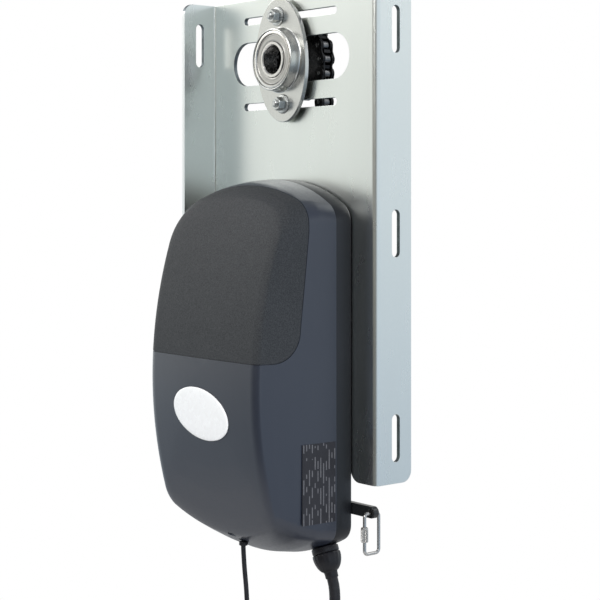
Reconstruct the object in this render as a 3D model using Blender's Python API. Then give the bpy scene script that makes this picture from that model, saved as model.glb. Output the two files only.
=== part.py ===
"""Side-mounted chain-drive gearmotor for a sectional or roller door, on its Z-shaped bracket.

The frame is the bracket's: the origin is the middle of its six fixing slots, on the web's front
face. X runs to the right, Y to the rear and Z up. All sizes below are millimetres.
"""

import math

import bmesh
import bpy
from mathutils import Matrix, Vector

MM = 0.001
GAP = 0.3  # free play between touching pieces

# Bracket: a folded steel plate whose left flange points forward and right flange to the rear
SHEET = 4.0
BRACKET_HALF = 116.2
BRACKET_TOP = 213.0
FLANGE_FRONT = -35.2
FLANGE_REAR = 40.8
BEND_OUT = 5.0
BEND_IN = 1.2
FLANGE_SLOT = (9.1, 40.6)
FLANGE_SLOT_PITCH = 174.3
LEFT_SLOT_Y = -17.3
RIGHT_SLOT_Y = 22.8
WEB_SLOT_HALF = 65.7
WEB_SLOT_WIDE = 6.7
WEB_HOLE = (164.0, 40.1)
NOTCH_HALF = 83.6
NOTCH_HIGH = 55.0
FLANGE_CORNER = 10.0
WEB_CUT = (-9.0, 12.0)  # how far a cutter through the web reaches
BOLT_HOLE_R = 3.3
SHAFT_HOLE_R = 15.0

# Chain drive behind the web: 12.7 mm pitch, 16 teeth on the door shaft and 12 on the output shaft
DRIVE_X = -3.0
BEARING_Z = 154.0
BOLT_RISE = 39.8
PITCH = 12.7
DOOR_TEETH = 16
OUTPUT_TEETH = 12
RUN_LINKS = 20
DOOR_RADIUS = PITCH / 2 / math.sin(math.pi / DOOR_TEETH)
OUTPUT_RADIUS = PITCH / 2 / math.sin(math.pi / OUTPUT_TEETH)
OUTPUT_Z = BEARING_Z - math.sqrt((RUN_LINKS * PITCH) ** 2 - (DOOR_RADIUS - OUTPUT_RADIUS) ** 2)
CHAIN_Y = 17.5
TOOTH_WIDE = 7.2
ROLLER_R = 4.25
PLATE_HALF = 5.9
STRIP = (3.95, 7.2)
DOOR_BORE = 12.75

# Bearing and its pressed-steel flange plate
BEARING_OD = 52.0
BEARING_FACE = -17.5
BEARING_WIDE = 15.0
CUP_R = 27.8
PLATE_THICK = 4.0
PLATE_BACK = -3.6
OVAL = (35.0, 56.0)
OVAL_TURN = 5.5

# Gear train: a worm beside a 30-tooth wheel
GEAR_Y = -37.0
WHEEL_TEETH = 30
MODULE = 2.0
WHEEL_R = WHEEL_TEETH * MODULE / 2
WORM_R = 10.0
WORM_X = DRIVE_X + WHEEL_R + WORM_R
SHAFT_R = 10.0
CASE = ((-44.0, -59.0, OUTPUT_Z - 38.0), (54.0, -8.0, OUTPUT_Z + 38.0))
MOTOR_R = 29.0
MOTOR_TOP = OUTPUT_Z + 104.0

# Housing: base shell, front cover and the textured panel let into the cover
SPLIT_Y = -18.3
BASE_BACK = -0.3
HOUSE_HALF = 86.3
HOUSE_TOP = 46.8
HOUSE_LOW = -283.0
TOP_ARCH = 150.0
LOW_ARCH = 167.0
SIDE_LINE = 0.36  # where the side's rear facet ends, as a share of the depth
DEEPEST = 97.8
DEEPEST_Z = -128.0
DEPTH_BOW = 0.00138
CROWN = 1.5
FACE_MID_Z = -118.0
WALL = 3.0
RECESS = 1.5
PANEL_LOW = -106.8
PANEL_CORNER = 26.0
BADGE_AT = (0.6, -155.0)
BADGE_HALF = (39.0, 22.0)
BADGE_TURN = -8.0
LABEL_Z = (-244.0, -176.3)
LABEL_FRONT = 55.0
BACK_CUT = (-12.0, 2.0)  # how far a cutter through the base's back and its plate reaches

# Release lever and its quick link
LEVER_Z = -236.0
LEVER_PIVOT_X = 22.0
LEVER_EYE_X = 108.5
LEVER_HIGH = 10.0
LEVER_Y = (0.4, 6.2)
LINK_WIRE = 1.45
LINK_FRONT = -6.2
LINK_DEEP = 16.1
LINK_HIGH = 34.2

# Cables. The gland stands square on the curved underside, and both cables hang from there.
CABLE_R = 4.75
AERIAL_R = 2.1
GLAND_X = 63.2
GLAND_Y = -12.0
COLLAR_LONG = 5.5
RELIEF_END = 27.0
COIL_CENTRE = Vector((24.6, -16.75, -401.5))
COIL_R = 53.5
COIL_THICK = 20.5
POWER_ROUTE = [
    (73.8, -12.0, -296.5),
    (75.8, -12.0, -302.2),
    (76.8, -12.0, -309.0),
    (77.0, -12.0, -318.0),
    (77.2, -12.0, -328.0),
    (77.6, -12.0, -338.0),
    (78.2, -12.0, -348.0),
    (78.8, -12.0, -357.0),
]
TAIL_ROUTE = [
    (61.0, -21.5, -343.2),
    (70.0, -21.5, -344.4),
    (79.0, -21.5, -347.7),
    (87.0, -21.5, -353.2),
    (93.5, -21.5, -361.0),
    (97.8, -21.5, -370.0),
    (99.5, -21.5, -380.0),
    (99.6, -21.5, -396.0),
    (99.6, -21.5, -413.0),
]
AERIAL_ROUTE = [
    (11.1, -60.0, -277.6),
    (12.6, -60.0, -292.0),
    (14.9, -60.0, -308.0),
    (16.6, -60.0, -328.0),
    (17.0, -59.8, -352.0),
    (16.4, -59.4, -378.0),
    (15.4, -59.0, -402.0),
    (14.6, -58.8, -424.0),
    (14.2, -58.7, -445.0),
]


# ---------------------------------------------------------------- helpers


def clear():
    for item in list(bpy.data.objects):
        bpy.data.objects.remove(item, do_unlink=True)


def look(name, colour, rough, metal=0.0):
    made = bpy.data.materials.new(name)
    made.use_nodes = True
    shader = made.node_tree.nodes["Principled BSDF"]
    shader.inputs["Base Color"].default_value = (*colour, 1.0)
    shader.inputs["Roughness"].default_value = rough
    shader.inputs["Metallic"].default_value = metal
    return made


def put(name, bm, material, pivot=(0.0, 0.0, 0.0), sharp=35.0):
    """Turns a millimetre bmesh into an object whose origin is the pivot."""
    bmesh.ops.recalc_face_normals(bm, faces=bm.faces)
    shift = Matrix.Translation(-Vector(pivot))
    bmesh.ops.transform(bm, matrix=Matrix.Scale(MM, 4) @ shift, verts=bm.verts)
    mesh = bpy.data.meshes.new(name)
    bm.to_mesh(mesh)
    bm.free()
    mesh.shade_smooth()
    mesh.set_sharp_from_angle(angle=math.radians(sharp))
    made = bpy.data.objects.new(name, mesh)
    made.location = Vector(pivot) * MM
    if material:
        mesh.materials.append(material)
    bpy.context.collection.objects.link(made)
    return made


def cut(base, tool, operation="DIFFERENCE"):
    """Applies a Boolean to an object and removes the other object it was made with."""
    step = base.modifiers.new("cut", "BOOLEAN")
    step.operation = operation
    step.solver = "EXACT"
    step.object = tool
    bpy.context.view_layer.update()
    seen = base.evaluated_get(bpy.context.evaluated_depsgraph_get())
    mesh = bpy.data.meshes.new_from_object(seen)
    base.modifiers.clear()
    base.data = mesh
    bpy.data.objects.remove(tool, do_unlink=True)


def finish(made, material):
    """One material and round shading, once an object has its final shape."""
    made.data.materials.clear()
    made.data.materials.append(material)
    made.data.shade_smooth()
    made.data.set_sharp_from_angle(angle=math.radians(35.0))


def combine(name, body, others, operation, material, pivot=(0.0, 0.0, 0.0)):
    """Applies Booleans to a bmesh, one after another, and puts the result down as an object."""
    base = put(name, body, None, pivot)
    for number, other in enumerate(others):
        cut(base, put(f"{name}_tool_{number}", other, None), operation)
    finish(base, material)
    return base


def turn(points, axis):
    """Places (u, v, along) points so that 'along' follows the axis."""
    if axis == "X":
        return [Vector((w, u, v)) for u, v, w in points]
    if axis == "Y":
        return [Vector((u, w, v)) for u, v, w in points]
    return [Vector((u, v, w)) for u, v, w in points]


def prism(outline, axis, low, high, bm=None):
    """A flat outline pushed along an axis: (x, y) along Z, (x, z) along Y, (y, z) along X."""
    bm = bm or bmesh.new()
    rings = []
    for along in (low, high):
        spots = turn([(u, v, along) for u, v in outline], axis)
        rings.append([bm.verts.new(p) for p in spots])
    count = len(outline)
    for i in range(count):
        j = (i + 1) % count
        bm.faces.new((rings[0][i], rings[0][j], rings[1][j], rings[1][i]))
    bm.faces.new(rings[0][::-1])
    bm.faces.new(rings[1])
    return bm


def box(low, high, bm=None):
    outline = [(low[0], low[1]), (high[0], low[1]), (high[0], high[1]), (low[0], high[1])]
    return prism(outline, "Z", low[2], high[2], bm)


def arc(cx, cy, radius, start, end, steps):
    """Points of an arc, with its angles in degrees."""
    spots = []
    for i in range(steps + 1):
        a = math.radians(start + (end - start) * i / steps)
        spots.append((cx + radius * math.cos(a), cy + radius * math.sin(a)))
    return spots


def circle(cx, cy, radius, sides):
    return arc(cx, cy, radius, 0, 360 * (sides - 1) / sides, sides - 1)


def rounded(cx, cy, wide, high, radius, steps=3):
    """A rectangle with round corners."""
    spots = []
    for sx, sy, start in ((1, 1, 0), (-1, 1, 90), (-1, -1, 180), (1, -1, 270)):
        spots += arc(
            cx + sx * (wide / 2 - radius), cy + sy * (high / 2 - radius), radius, start, start + 90, steps
        )
    return spots


def slot(cx, cy, wide, high, steps=6):
    """A rounded slot, whose ends are half circles."""
    radius = min(wide, high) / 2
    if wide > high:
        right = arc(cx + wide / 2 - radius, cy, radius, -90, 90, steps)
        return right + arc(cx - wide / 2 + radius, cy, radius, 90, 270, steps)
    top = arc(cx, cy + high / 2 - radius, radius, 0, 180, steps)
    return top + arc(cx, cy - high / 2 + radius, radius, 180, 360, steps)


def lathe(profile, centre, axis, sides, bm=None, phase=0.0):
    """Turns (radius, along) points round an axis. A profile that starts and ends at radius 0 is solid,
    and any other is a closed ring."""
    bm = bm or bmesh.new()
    solid = profile[0][0] == 0 and profile[-1][0] == 0
    ring_points = profile[1:-1] if solid else profile
    rings = []
    for radius, along in ring_points:
        spots = [(radius * math.cos(a), radius * math.sin(a), along)
                 for a in (phase + 2 * math.pi * i / sides for i in range(sides))]
        rings.append([bm.verts.new(p + Vector(centre)) for p in turn(spots, axis)])
    pairs = list(zip(rings, rings[1:]))
    if not solid:
        pairs.append((rings[-1], rings[0]))
    for one, two in pairs:
        for i in range(sides):
            j = (i + 1) % sides
            bm.faces.new((one[i], one[j], two[j], two[i]))
    if solid:
        bm.faces.new(rings[0][::-1])
        bm.faces.new(rings[-1])
    return bm


def rod(centre, axis, radius, low, high, sides=16, bm=None):
    return lathe([(0, low), (radius, low), (radius, high), (0, high)], centre, axis, sides, bm)


def ring(centre, axis, inner, outer, low, high, sides=32, bm=None):
    profile = [(inner, low), (outer, low), (outer, high), (inner, high)]
    return lathe(profile, centre, axis, sides, bm)


def smooth_line(route, step):
    """Evenly spaced points on a Catmull-Rom curve through the route."""
    spots = [Vector(p) for p in route]
    spots = [2 * spots[0] - spots[1], *spots, 2 * spots[-1] - spots[-2]]
    dense = []
    for a, b, c, d in zip(spots, spots[1:], spots[2:], spots[3:]):
        for i in range(24):
            t = i / 24
            dense.append(0.5 * (2 * b + (c - a) * t + (2 * a - 5 * b + 4 * c - d) * t * t
                                + (3 * b - a - 3 * c + d) * t ** 3))
    dense.append(spots[-2])
    along = [0.0]
    for a, b in zip(dense, dense[1:]):
        along.append(along[-1] + (b - a).length)
    count = max(2, round(along[-1] / step))
    even = []
    j = 0
    for i in range(count + 1):
        goal = along[-1] * i / count
        while j < len(dense) - 2 and along[j + 1] < goal:
            j += 1
        share = (goal - along[j]) / (along[j + 1] - along[j])
        even.append(dense[j].lerp(dense[j + 1], share))
    return even


def tube(name, spots, radius, material, pivot=(0.0, 0.0, 0.0), resolution=2):
    """A round bar or cable along a line of points."""
    data = bpy.data.curves.new(name, "CURVE")
    data.dimensions = "3D"
    data.bevel_depth = radius * MM
    data.bevel_resolution = resolution
    data.use_fill_caps = True
    spline = data.splines.new("POLY")
    spline.points.add(len(spots) - 1)
    for point, spot in zip(spline.points, spots):
        point.co = (*((Vector(spot) - Vector(pivot)) * MM), 1.0)
    made = bpy.data.objects.new(name, data)
    made.location = Vector(pivot) * MM
    data.materials.append(material)
    bpy.context.collection.objects.link(made)
    return made


# ---------------------------------------------------------------- bracket and bearing


def make_bracket(zinc):
    b = BRACKET_HALF
    profile = [(-b, FLANGE_FRONT), (-b + SHEET, FLANGE_FRONT)]
    profile += arc(-b + SHEET + BEND_IN, -BEND_IN, BEND_IN, 180, 90, 2)
    profile += arc(b - BEND_OUT, BEND_OUT, BEND_OUT, -90, 0, 4)
    profile += [(b, FLANGE_REAR), (b - SHEET, FLANGE_REAR)]
    profile += arc(b - SHEET - BEND_IN, SHEET + BEND_IN, BEND_IN, 0, -90, 2)
    profile += arc(-b + BEND_OUT, SHEET - BEND_OUT, BEND_OUT, 90, 180, 4)
    body = prism(profile, "Z", -BRACKET_TOP, BRACKET_TOP)

    openings = prism(slot(0, BEARING_Z, *WEB_HOLE, 8), "Y", *WEB_CUT)
    for side in (-1, 1):
        height = BEARING_Z + side * BOLT_RISE
        prism(slot(0, height, 2 * WEB_SLOT_HALF, WEB_SLOT_WIDE, 4), "Y", *WEB_CUT, openings)
    prism(circle(DRIVE_X, OUTPUT_Z, SHAFT_HOLE_R, 20), "Y", *WEB_CUT, openings)
    for x, z in mount_spots():
        prism(circle(x, z, BOLT_HOLE_R, 10), "Y", *WEB_CUT, openings)
    low, foot, inside = -BRACKET_TOP, 11.0, 12.0
    notch = arc(NOTCH_HALF + foot, low + foot, foot, 270, 180, 4)
    notch += arc(NOTCH_HALF - inside, low + NOTCH_HIGH - inside, inside, 0, 90, 3)
    notch += [(-u, v) for u, v in notch[::-1]]
    notch = [(NOTCH_HALF + foot, low - 5)] + notch + [(-NOTCH_HALF - foot, low - 5)]
    prism(notch, "Y", *WEB_CUT, openings)

    fixings = bmesh.new()
    for level in (-1, 0, 1):
        z = level * FLANGE_SLOT_PITCH
        prism(slot(LEFT_SLOT_Y, z, *FLANGE_SLOT, 4), "X", -b - 5, -b + 9, fixings)
        prism(slot(RIGHT_SLOT_Y, z, *FLANGE_SLOT, 4), "X", b - 9, b + 5, fixings)
    corner = FLANGE_CORNER
    for edge, side, facing in ((FLANGE_FRONT, -1, 1), (FLANGE_REAR, 1, -1)):
        for end in (-1, 1):
            tip = end * BRACKET_TOP
            cy = edge + facing * corner
            cz = tip - end * corner
            quarter = [(edge - facing * 3, cz), (edge - facing * 3, tip + end * 3), (cy, tip + end * 3)]
            curve = [(cy - facing * corner * math.sin(a), cz + end * corner * math.cos(a))
                     for a in (math.pi / 2 * i / 4 for i in range(5))]
            prism(quarter + curve, "X", side * b - 9, side * b + 9, fixings)
    combine("bracket", body, [openings, fixings], "DIFFERENCE", zinc)


def mount_spots():
    """Where the bolts go that hold the drive unit on the bracket."""
    return [(x, z) for x in (-66.0, 62.0) for z in (16.0, -140.0)]


def bolt_spots():
    """The two bolts that hold the bearing's plate, turned a little in their slots."""
    lean = math.radians(OVAL_TURN)
    rise, shift = BOLT_RISE * math.cos(lean), BOLT_RISE * math.sin(lean)
    return [(DRIVE_X - side * shift, BEARING_Z + side * rise) for side in (1, -1)]


def make_flange_plate(zinc):
    """The oval plate, which stands off the web on spacers, and the cup in it that grips the bearing."""
    low, high = PLATE_BACK - PLATE_THICK, PLATE_BACK
    lean = math.radians(OVAL_TURN)
    outline = []
    for u, v in circle(0, 0, 1.0, 44):
        u, v = u * OVAL[0], v * OVAL[1]
        outline.append((DRIVE_X + u * math.cos(lean) - v * math.sin(lean),
                        BEARING_Z + u * math.sin(lean) + v * math.cos(lean)))
    plate = prism(outline, "Y", low, high)
    inner = BEARING_OD / 2 + GAP
    front = BEARING_FACE - 0.5
    cup = lathe(
        [(inner, high - 0.4), (inner, front + 0.3), (inner + 0.4, front), (CUP_R - 0.6, front),
         (CUP_R, front + 1.2), (CUP_R + 0.4, low - 3.0), (CUP_R + 1.6, low - 0.8), (CUP_R + 1.8, high - 0.4)],
        (DRIVE_X, 0, BEARING_Z), "Y", 28,
    )
    holes = prism(circle(DRIVE_X, BEARING_Z, inner, 28), "Y", -30, 5)
    for x, z in bolt_spots():
        prism(circle(x, z, 3.4, 12), "Y", low - 5, high + 5, holes)
    base = combine("flange_plate", plate, [cup], "UNION", zinc)
    cut(base, put("flange_plate_holes", holes, None))


def make_bearing(steel):
    centre = (DRIVE_X, 0, BEARING_Z)
    pivot = (DRIVE_X, BEARING_FACE + BEARING_WIDE / 2, BEARING_Z)
    front, back = BEARING_FACE, BEARING_FACE + BEARING_WIDE
    middle = (front + back) / 2
    outer = [(22.6, front), (25.4, front), (26.0, front + 0.6), (26.0, back - 0.6), (25.4, back),
             (22.6, back), (22.6, middle + 3.4), (23.4, middle), (22.6, middle - 3.4)]
    put("bearing_outer_ring", lathe(outer, centre, "Y", 28), steel, pivot)
    inner = [(DOOR_BORE, front), (16.2, front), (16.2, middle - 3.4), (15.4, middle), (16.2, middle + 3.4),
             (16.2, back), (DOOR_BORE, back)]
    put("bearing_inner_ring", lathe(inner, centre, "Y", 28), steel, pivot)
    cage = ring(centre, "Y", 17.8, 20.8, middle - 1.6, middle + 1.6, 18)
    balls = bmesh.new()
    for i in range(9):
        a = 2 * math.pi * (i + 0.25) / 9
        spot = Matrix.Translation(
            (centre[0] + 19.3 * math.cos(a), middle, centre[2] + 19.3 * math.sin(a)))
        bmesh.ops.create_uvsphere(balls, u_segments=6, v_segments=4, radius=3.5, matrix=spot)
    combine("bearing_cage", cage, [balls], "UNION", steel, pivot)
    put("bearing_shield", ring(centre, "Y", 16.6, 22.3, front + 0.8, front + 1.6, 28), steel, pivot)


def make_flange_bolts(zinc):
    """Two bolts from behind the web, each with a spacer under the plate and a washer and nut on it."""
    face = PLATE_BACK - PLATE_THICK
    for number, (x, z) in enumerate(bolt_spots(), 1):
        spot = (x, 0, z)
        spacer = ring(spot, "Y", 3.3, 7.0, PLATE_BACK + GAP, -GAP, 16)
        put(f"flange_spacer_{number}", spacer, zinc)
        bolt = lathe([(0, face - 11.0), (2.2, face - 11.0), (2.95, face - 10.2), (2.95, SHEET + GAP),
                      (8.0, SHEET + GAP), (8.0, SHEET + GAP + 1.4), (5.6, SHEET + GAP + 1.5),
                      (5.6, SHEET + GAP + 5.2), (0, SHEET + GAP + 5.2)], spot, "Y", 12)
        put(f"flange_bolt_{number}", bolt, zinc)
        washer = ring(spot, "Y", 3.3, 8.7, face - GAP - 1.6, face - GAP, 16)
        put(f"flange_washer_{number}", washer, zinc)
        low = face - 2 * GAP - 1.6
        nut = lathe([(3.7, low), (6.2, low), (6.2, low - 5.2), (5.4, low - 6.0), (3.7, low - 6.0)],
                    spot, "Y", 6, phase=0.35)
        put(f"flange_nut_{number}", nut, zinc, sharp=20.0)


# ---------------------------------------------------------------- chain drive


def tooth_outline(teeth, pitch_radius, tip_radius, cx, cz):
    """A sprocket's edge: a round seat for each roller and a tapered tooth between seats."""
    seat = 4.6
    spots = []
    rise = tip_radius - pitch_radius
    gap = [(5.5, rise), (seat, 0.3), (3.25, -3.25), (0, -seat), (-3.25, -3.25), (-seat, 0.3), (-5.5, rise)]
    for i in range(teeth):
        a = 2 * math.pi * i / teeth
        for across, out in gap[::-1]:
            r = pitch_radius + out
            spots.append((cx + r * math.cos(a) - across * math.sin(a),
                          cz + r * math.sin(a) + across * math.cos(a)))
    return spots


def chain_spots():
    """The roller centres, anticlockwise from the upper sprocket's right side."""
    upper = arc(DRIVE_X, BEARING_Z, DOOR_RADIUS, 0, 180, DOOR_TEETH // 2)
    lower = arc(DRIVE_X, OUTPUT_Z, OUTPUT_RADIUS, 180, 360, OUTPUT_TEETH // 2)
    spots = list(upper)
    for turned, start, end in ((lower, upper[-1], lower[0]), ([], lower[-1], upper[0])):
        run = [Vector(start).lerp(Vector(end), i / RUN_LINKS) for i in range(1, RUN_LINKS)]
        spots += [tuple(spot) for spot in run] + turned
    return spots


def strip_loop(spots, low, high):
    """One side of the chain: a closed band of link plates through the roller centres."""
    bm = bmesh.new()
    count = len(spots)
    corners = []
    for i, (x, z) in enumerate(spots):
        before = Vector(spots[i - 1])
        after = Vector(spots[(i + 1) % count])
        along = (after - before).normalized()
        out = Vector((along.y, -along.x))
        row = []
        for side, y in ((PLATE_HALF, low), (PLATE_HALF, high), (-PLATE_HALF, high), (-PLATE_HALF, low)):
            row.append(bm.verts.new((x + out.x * side, y, z + out.y * side)))
        corners.append(row)
    for i in range(count):
        one, two = corners[i], corners[(i + 1) % count]
        for k in range(4):
            bm.faces.new((one[k], one[(k + 1) % 4], two[(k + 1) % 4], two[k]))
    return bm


def make_chain(black):
    spots = chain_spots()
    front = strip_loop(spots, CHAIN_Y - STRIP[1], CHAIN_Y - STRIP[0])
    rear = strip_loop(spots, CHAIN_Y + STRIP[0], CHAIN_Y + STRIP[1])
    rollers = bmesh.new()
    for x, z in spots:
        rod((x, CHAIN_Y, z), "Y", 3.9, -STRIP[0] - 1.0, STRIP[0] + 1.0, 6, rollers)
    combine("drive_chain", front, [rollers, rear], "UNION", black)


def make_sprocket(name, teeth, pitch_radius, z, bore, hub, hub_end, black):
    """A toothed disc with a hub towards the web on one side, a keyed bore and the shaft's axis along Y."""
    tip = PITCH * (0.6 + 1 / math.tan(math.pi / teeth)) / 2
    centre = (DRIVE_X, CHAIN_Y, z)
    half = TOOTH_WIDE / 2
    disc = prism(tooth_outline(teeth, pitch_radius, tip, DRIVE_X, z), "Y", CHAIN_Y - half, CHAIN_Y + half)
    boss = rod(centre, "Y", hub, 0.5, hub_end, 28)
    key = [(-2.8, 0), (2.8, 0), (2.8, bore + 2.6), (-2.8, bore + 2.6)]
    keyway = prism([(DRIVE_X + u, z + v) for u, v in key], "Y", CHAIN_Y - 12, CHAIN_Y + hub_end + 9)
    hole = prism(circle(DRIVE_X, z, bore, 28), "Y", CHAIN_Y - 12, CHAIN_Y + hub_end + 9)
    made = combine(name, disc, [boss], "UNION", black, centre)
    for number, tool in enumerate((hole, keyway)):
        cut(made, put(f"{name}_bore_{number}", tool, None))
    return made


def make_drive(black, steel, zinc):
    door = make_sprocket("door_sprocket", DOOR_TEETH, DOOR_RADIUS, BEARING_Z, DOOR_BORE, 21.5, 19.0, black)
    screw_y = CHAIN_Y + 12.0
    pocket = rod((DRIVE_X, screw_y, BEARING_Z), "X", 3.3, -26, -10, 10)
    cut(door, put("hub_pocket", pocket, None))
    screw = rod((DRIVE_X, screw_y, BEARING_Z), "X", 3.0, -20.9, -13.4, 10)
    put("hub_screw", screw, steel, (DRIVE_X, screw_y, BEARING_Z))
    make_sprocket("output_sprocket", OUTPUT_TEETH, OUTPUT_RADIUS, OUTPUT_Z, SHAFT_R + GAP, 17.0, 13.0, black)
    make_chain(black)

    centre = (DRIVE_X, 0, OUTPUT_Z)
    tail = CHAIN_Y + 12.6
    shaft = lathe([(0, -56.0), (7.4, -56.0), (7.4, -47.0), (SHAFT_R, -47.0), (SHAFT_R, tail - 0.6),
                   (SHAFT_R - 0.6, tail), (0, tail)], centre, "Y", 28)
    seat = box((DRIVE_X - 3.1, CHAIN_Y - 6, OUTPUT_Z + 6.6), (DRIVE_X + 3.1, CHAIN_Y + 14, OUTPUT_Z + 14))
    thread = rod(centre, "Y", 3.3, 16.0, CHAIN_Y + 20, 10)
    combine("output_shaft", shaft, [seat, thread], "DIFFERENCE", steel, (DRIVE_X, CHAIN_Y, OUTPUT_Z))
    key = box((DRIVE_X - 2.5, CHAIN_Y - 5, OUTPUT_Z + 6.9), (DRIVE_X + 2.5, tail - 1.0, OUTPUT_Z + 12.4))
    put("output_key", key, steel)
    end = CHAIN_Y + 13.0 + GAP
    put("shaft_end_washer", ring(centre, "Y", 3.6, 14.0, end, end + 2.4, 18), zinc)
    head = end + 2.4 + GAP
    put("shaft_end_screw", lathe([(0, 18.0), (3.0, 18.0), (3.0, head), (5.8, head), (5.8, head + 4.4),
                                  (5.2, head + 5.0), (0, head + 5.0)], centre, "Y", 12), zinc)


# ---------------------------------------------------------------- gearbox and motor


def make_wheel(brass):
    tip, root, face = WHEEL_R + 1.7, WHEEL_R - 2.3, 5.0
    outline = []
    for i in range(WHEEL_TEETH):
        for share, radius in ((-0.33, root), (-0.17, tip), (0.17, tip), (0.33, root)):
            a = 2 * math.pi * (i + share) / WHEEL_TEETH
            outline.append((DRIVE_X + radius * math.cos(a), OUTPUT_Z + radius * math.sin(a)))
    body = prism(outline, "Y", GEAR_Y - face, GEAR_Y + face)
    hub = rod((DRIVE_X, GEAR_Y, OUTPUT_Z), "Y", 17.0, -9.0, 9.0, 28)
    bore = rod((DRIVE_X, GEAR_Y, OUTPUT_Z), "Y", SHAFT_R + GAP, -16.0, 16.0, 28)
    made = combine("worm_wheel", body, [hub], "UNION", brass, (DRIVE_X, GEAR_Y, OUTPUT_Z))
    cut(made, put("worm_wheel_bore", bore, None))


def make_worm(steel):
    """A shaft whose thread is a ridge that climbs one pitch in each turn."""
    pitch = math.pi * MODULE
    crest, root, half_long = WORM_R + 1.5, WORM_R - 2.3, 2.5 * pitch
    sides, steps = 12, 40
    bm = bmesh.new()
    rings = []

    def level(radius_of, z):
        row = []
        for i in range(sides):
            a = 2 * math.pi * i / sides
            r = radius_of(a)
            row.append(bm.verts.new((WORM_X + r * math.cos(a), GEAR_Y + r * math.sin(a), z)))
        rings.append(row)

    low, high = CASE[0][2] + 4.6, MOTOR_TOP - 4.0
    level(lambda a: 5.0, low)
    level(lambda a: 5.0, OUTPUT_Z - half_long - 1.0)
    for k in range(steps + 1):
        z = -half_long + 2 * half_long * k / steps

        def ridge(a, z=z):
            phase = ((z / pitch - a / (2 * math.pi)) % 1.0) - 0.5
            height = 1.0 - min(max((abs(abs(phase) - 0.5) * pitch - 0.3) / 0.8, 0.0), 1.0)
            return root + (crest - root) * height

        level(ridge, OUTPUT_Z + z)
    level(lambda a: 5.0, OUTPUT_Z + half_long + 1.0)
    level(lambda a: 5.0, high)
    for one, two in zip(rings, rings[1:]):
        for i in range(sides):
            j = (i + 1) % sides
            bm.faces.new((one[i], one[j], two[j], two[i]))
    bm.faces.new(rings[0][::-1])
    bm.faces.new(rings[-1])
    put("worm_shaft", bm, steel, (WORM_X, GEAR_Y, OUTPUT_Z))


def make_gearbox(alloy, steel, black, copper):
    (x0, y0, z0), (x1, y1, z1) = CASE
    body = prism(rounded((x0 + x1) / 2, (z0 + z1) / 2, x1 - x0, z1 - z0, 10), "Y", y0, y1)
    hollow = prism(rounded((x0 + x1) / 2, (z0 + z1) / 2, x1 - x0 - 8, z1 - z0 - 8, 7), "Y", y0 - 5, y1 - 5)
    shaft_hole = rod((DRIVE_X, 0, OUTPUT_Z), "Y", SHAFT_R + GAP, -20, 5, 28)
    worm_hole = rod((WORM_X, GEAR_Y, 0), "Z", 5.4, z1 - 8, z1 + 8, 16)
    combine("gearbox_case", body, [hollow, shaft_hole, worm_hole], "DIFFERENCE", alloy)
    lid = prism(rounded((x0 + x1) / 2, (z0 + z1) / 2, x1 - x0, z1 - z0, 10), "Y", y0 - GAP - 4, y0 - GAP)
    put("gearbox_cover", lid, alloy)

    axis = (WORM_X, GEAR_Y, 0)
    low = z1 + GAP
    can = lathe([(5.5, low), (MOTOR_R, low), (MOTOR_R, MOTOR_TOP - 3.0), (MOTOR_R - 2.0, MOTOR_TOP - 3.0),
                 (MOTOR_R - 2.0, low + 2.0), (5.5, low + 2.0)], axis, "Z", 24)
    put("motor_can", can, steel, (WORM_X, GEAR_Y, OUTPUT_Z))
    rim, boss = MOTOR_TOP - 3.0 + GAP, MOTOR_TOP + 2.0
    cap = lathe([(0, rim), (MOTOR_R, rim), (MOTOR_R - 1.0, boss), (9.0, boss), (9.0, boss + 4.0),
                 (0, boss + 4.0)], axis, "Z", 24)
    put("motor_end_cap", cap, black)
    core = ring(axis, "Z", 5.3, 24.0, low + 9.0, MOTOR_TOP - 12.0, 20)
    put("motor_rotor", core, copper, (WORM_X, GEAR_Y, OUTPUT_Z))


# ---------------------------------------------------------------- housing


def depth(z):
    """How far the edge of the front face stands forward at a height."""
    return DEEPEST - DEPTH_BOW * (z - DEEPEST_Z) ** 2


def house_outline(half, top, low, top_arch, top_corner, low_corner):
    """The housing seen from the front: bowed top and bottom, upright sides and round corners."""
    spots = []
    for end, arch, corner, tip in ((1, top_arch, top_corner, top), (-1, LOW_ARCH, low_corner, -low)):
        middle = tip - arch
        cz = middle + math.sqrt((arch - corner) ** 2 - (half - corner) ** 2)
        turn_to = math.degrees(math.atan2(cz - middle, half - corner))
        quarter = arc(half - corner, cz, corner, 0, turn_to, 5)
        quarter += arc(0, middle, arch, turn_to, 90, 4)[1:]
        whole = quarter + [(-u, v) for u, v in quarter[-2::-1]]
        if end == 1:
            upper = whole
        else:
            lower = [(u, -v) for u, v in whole[::-1]]
    steps = 5
    left = [(-half, upper[-1][1] + (lower[0][1] - upper[-1][1]) * i / steps) for i in range(1, steps)]
    right = [(half, lower[-1][1] + (upper[0][1] - lower[-1][1]) * i / steps) for i in range(1, steps)]
    return upper + left + lower + right


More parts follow.
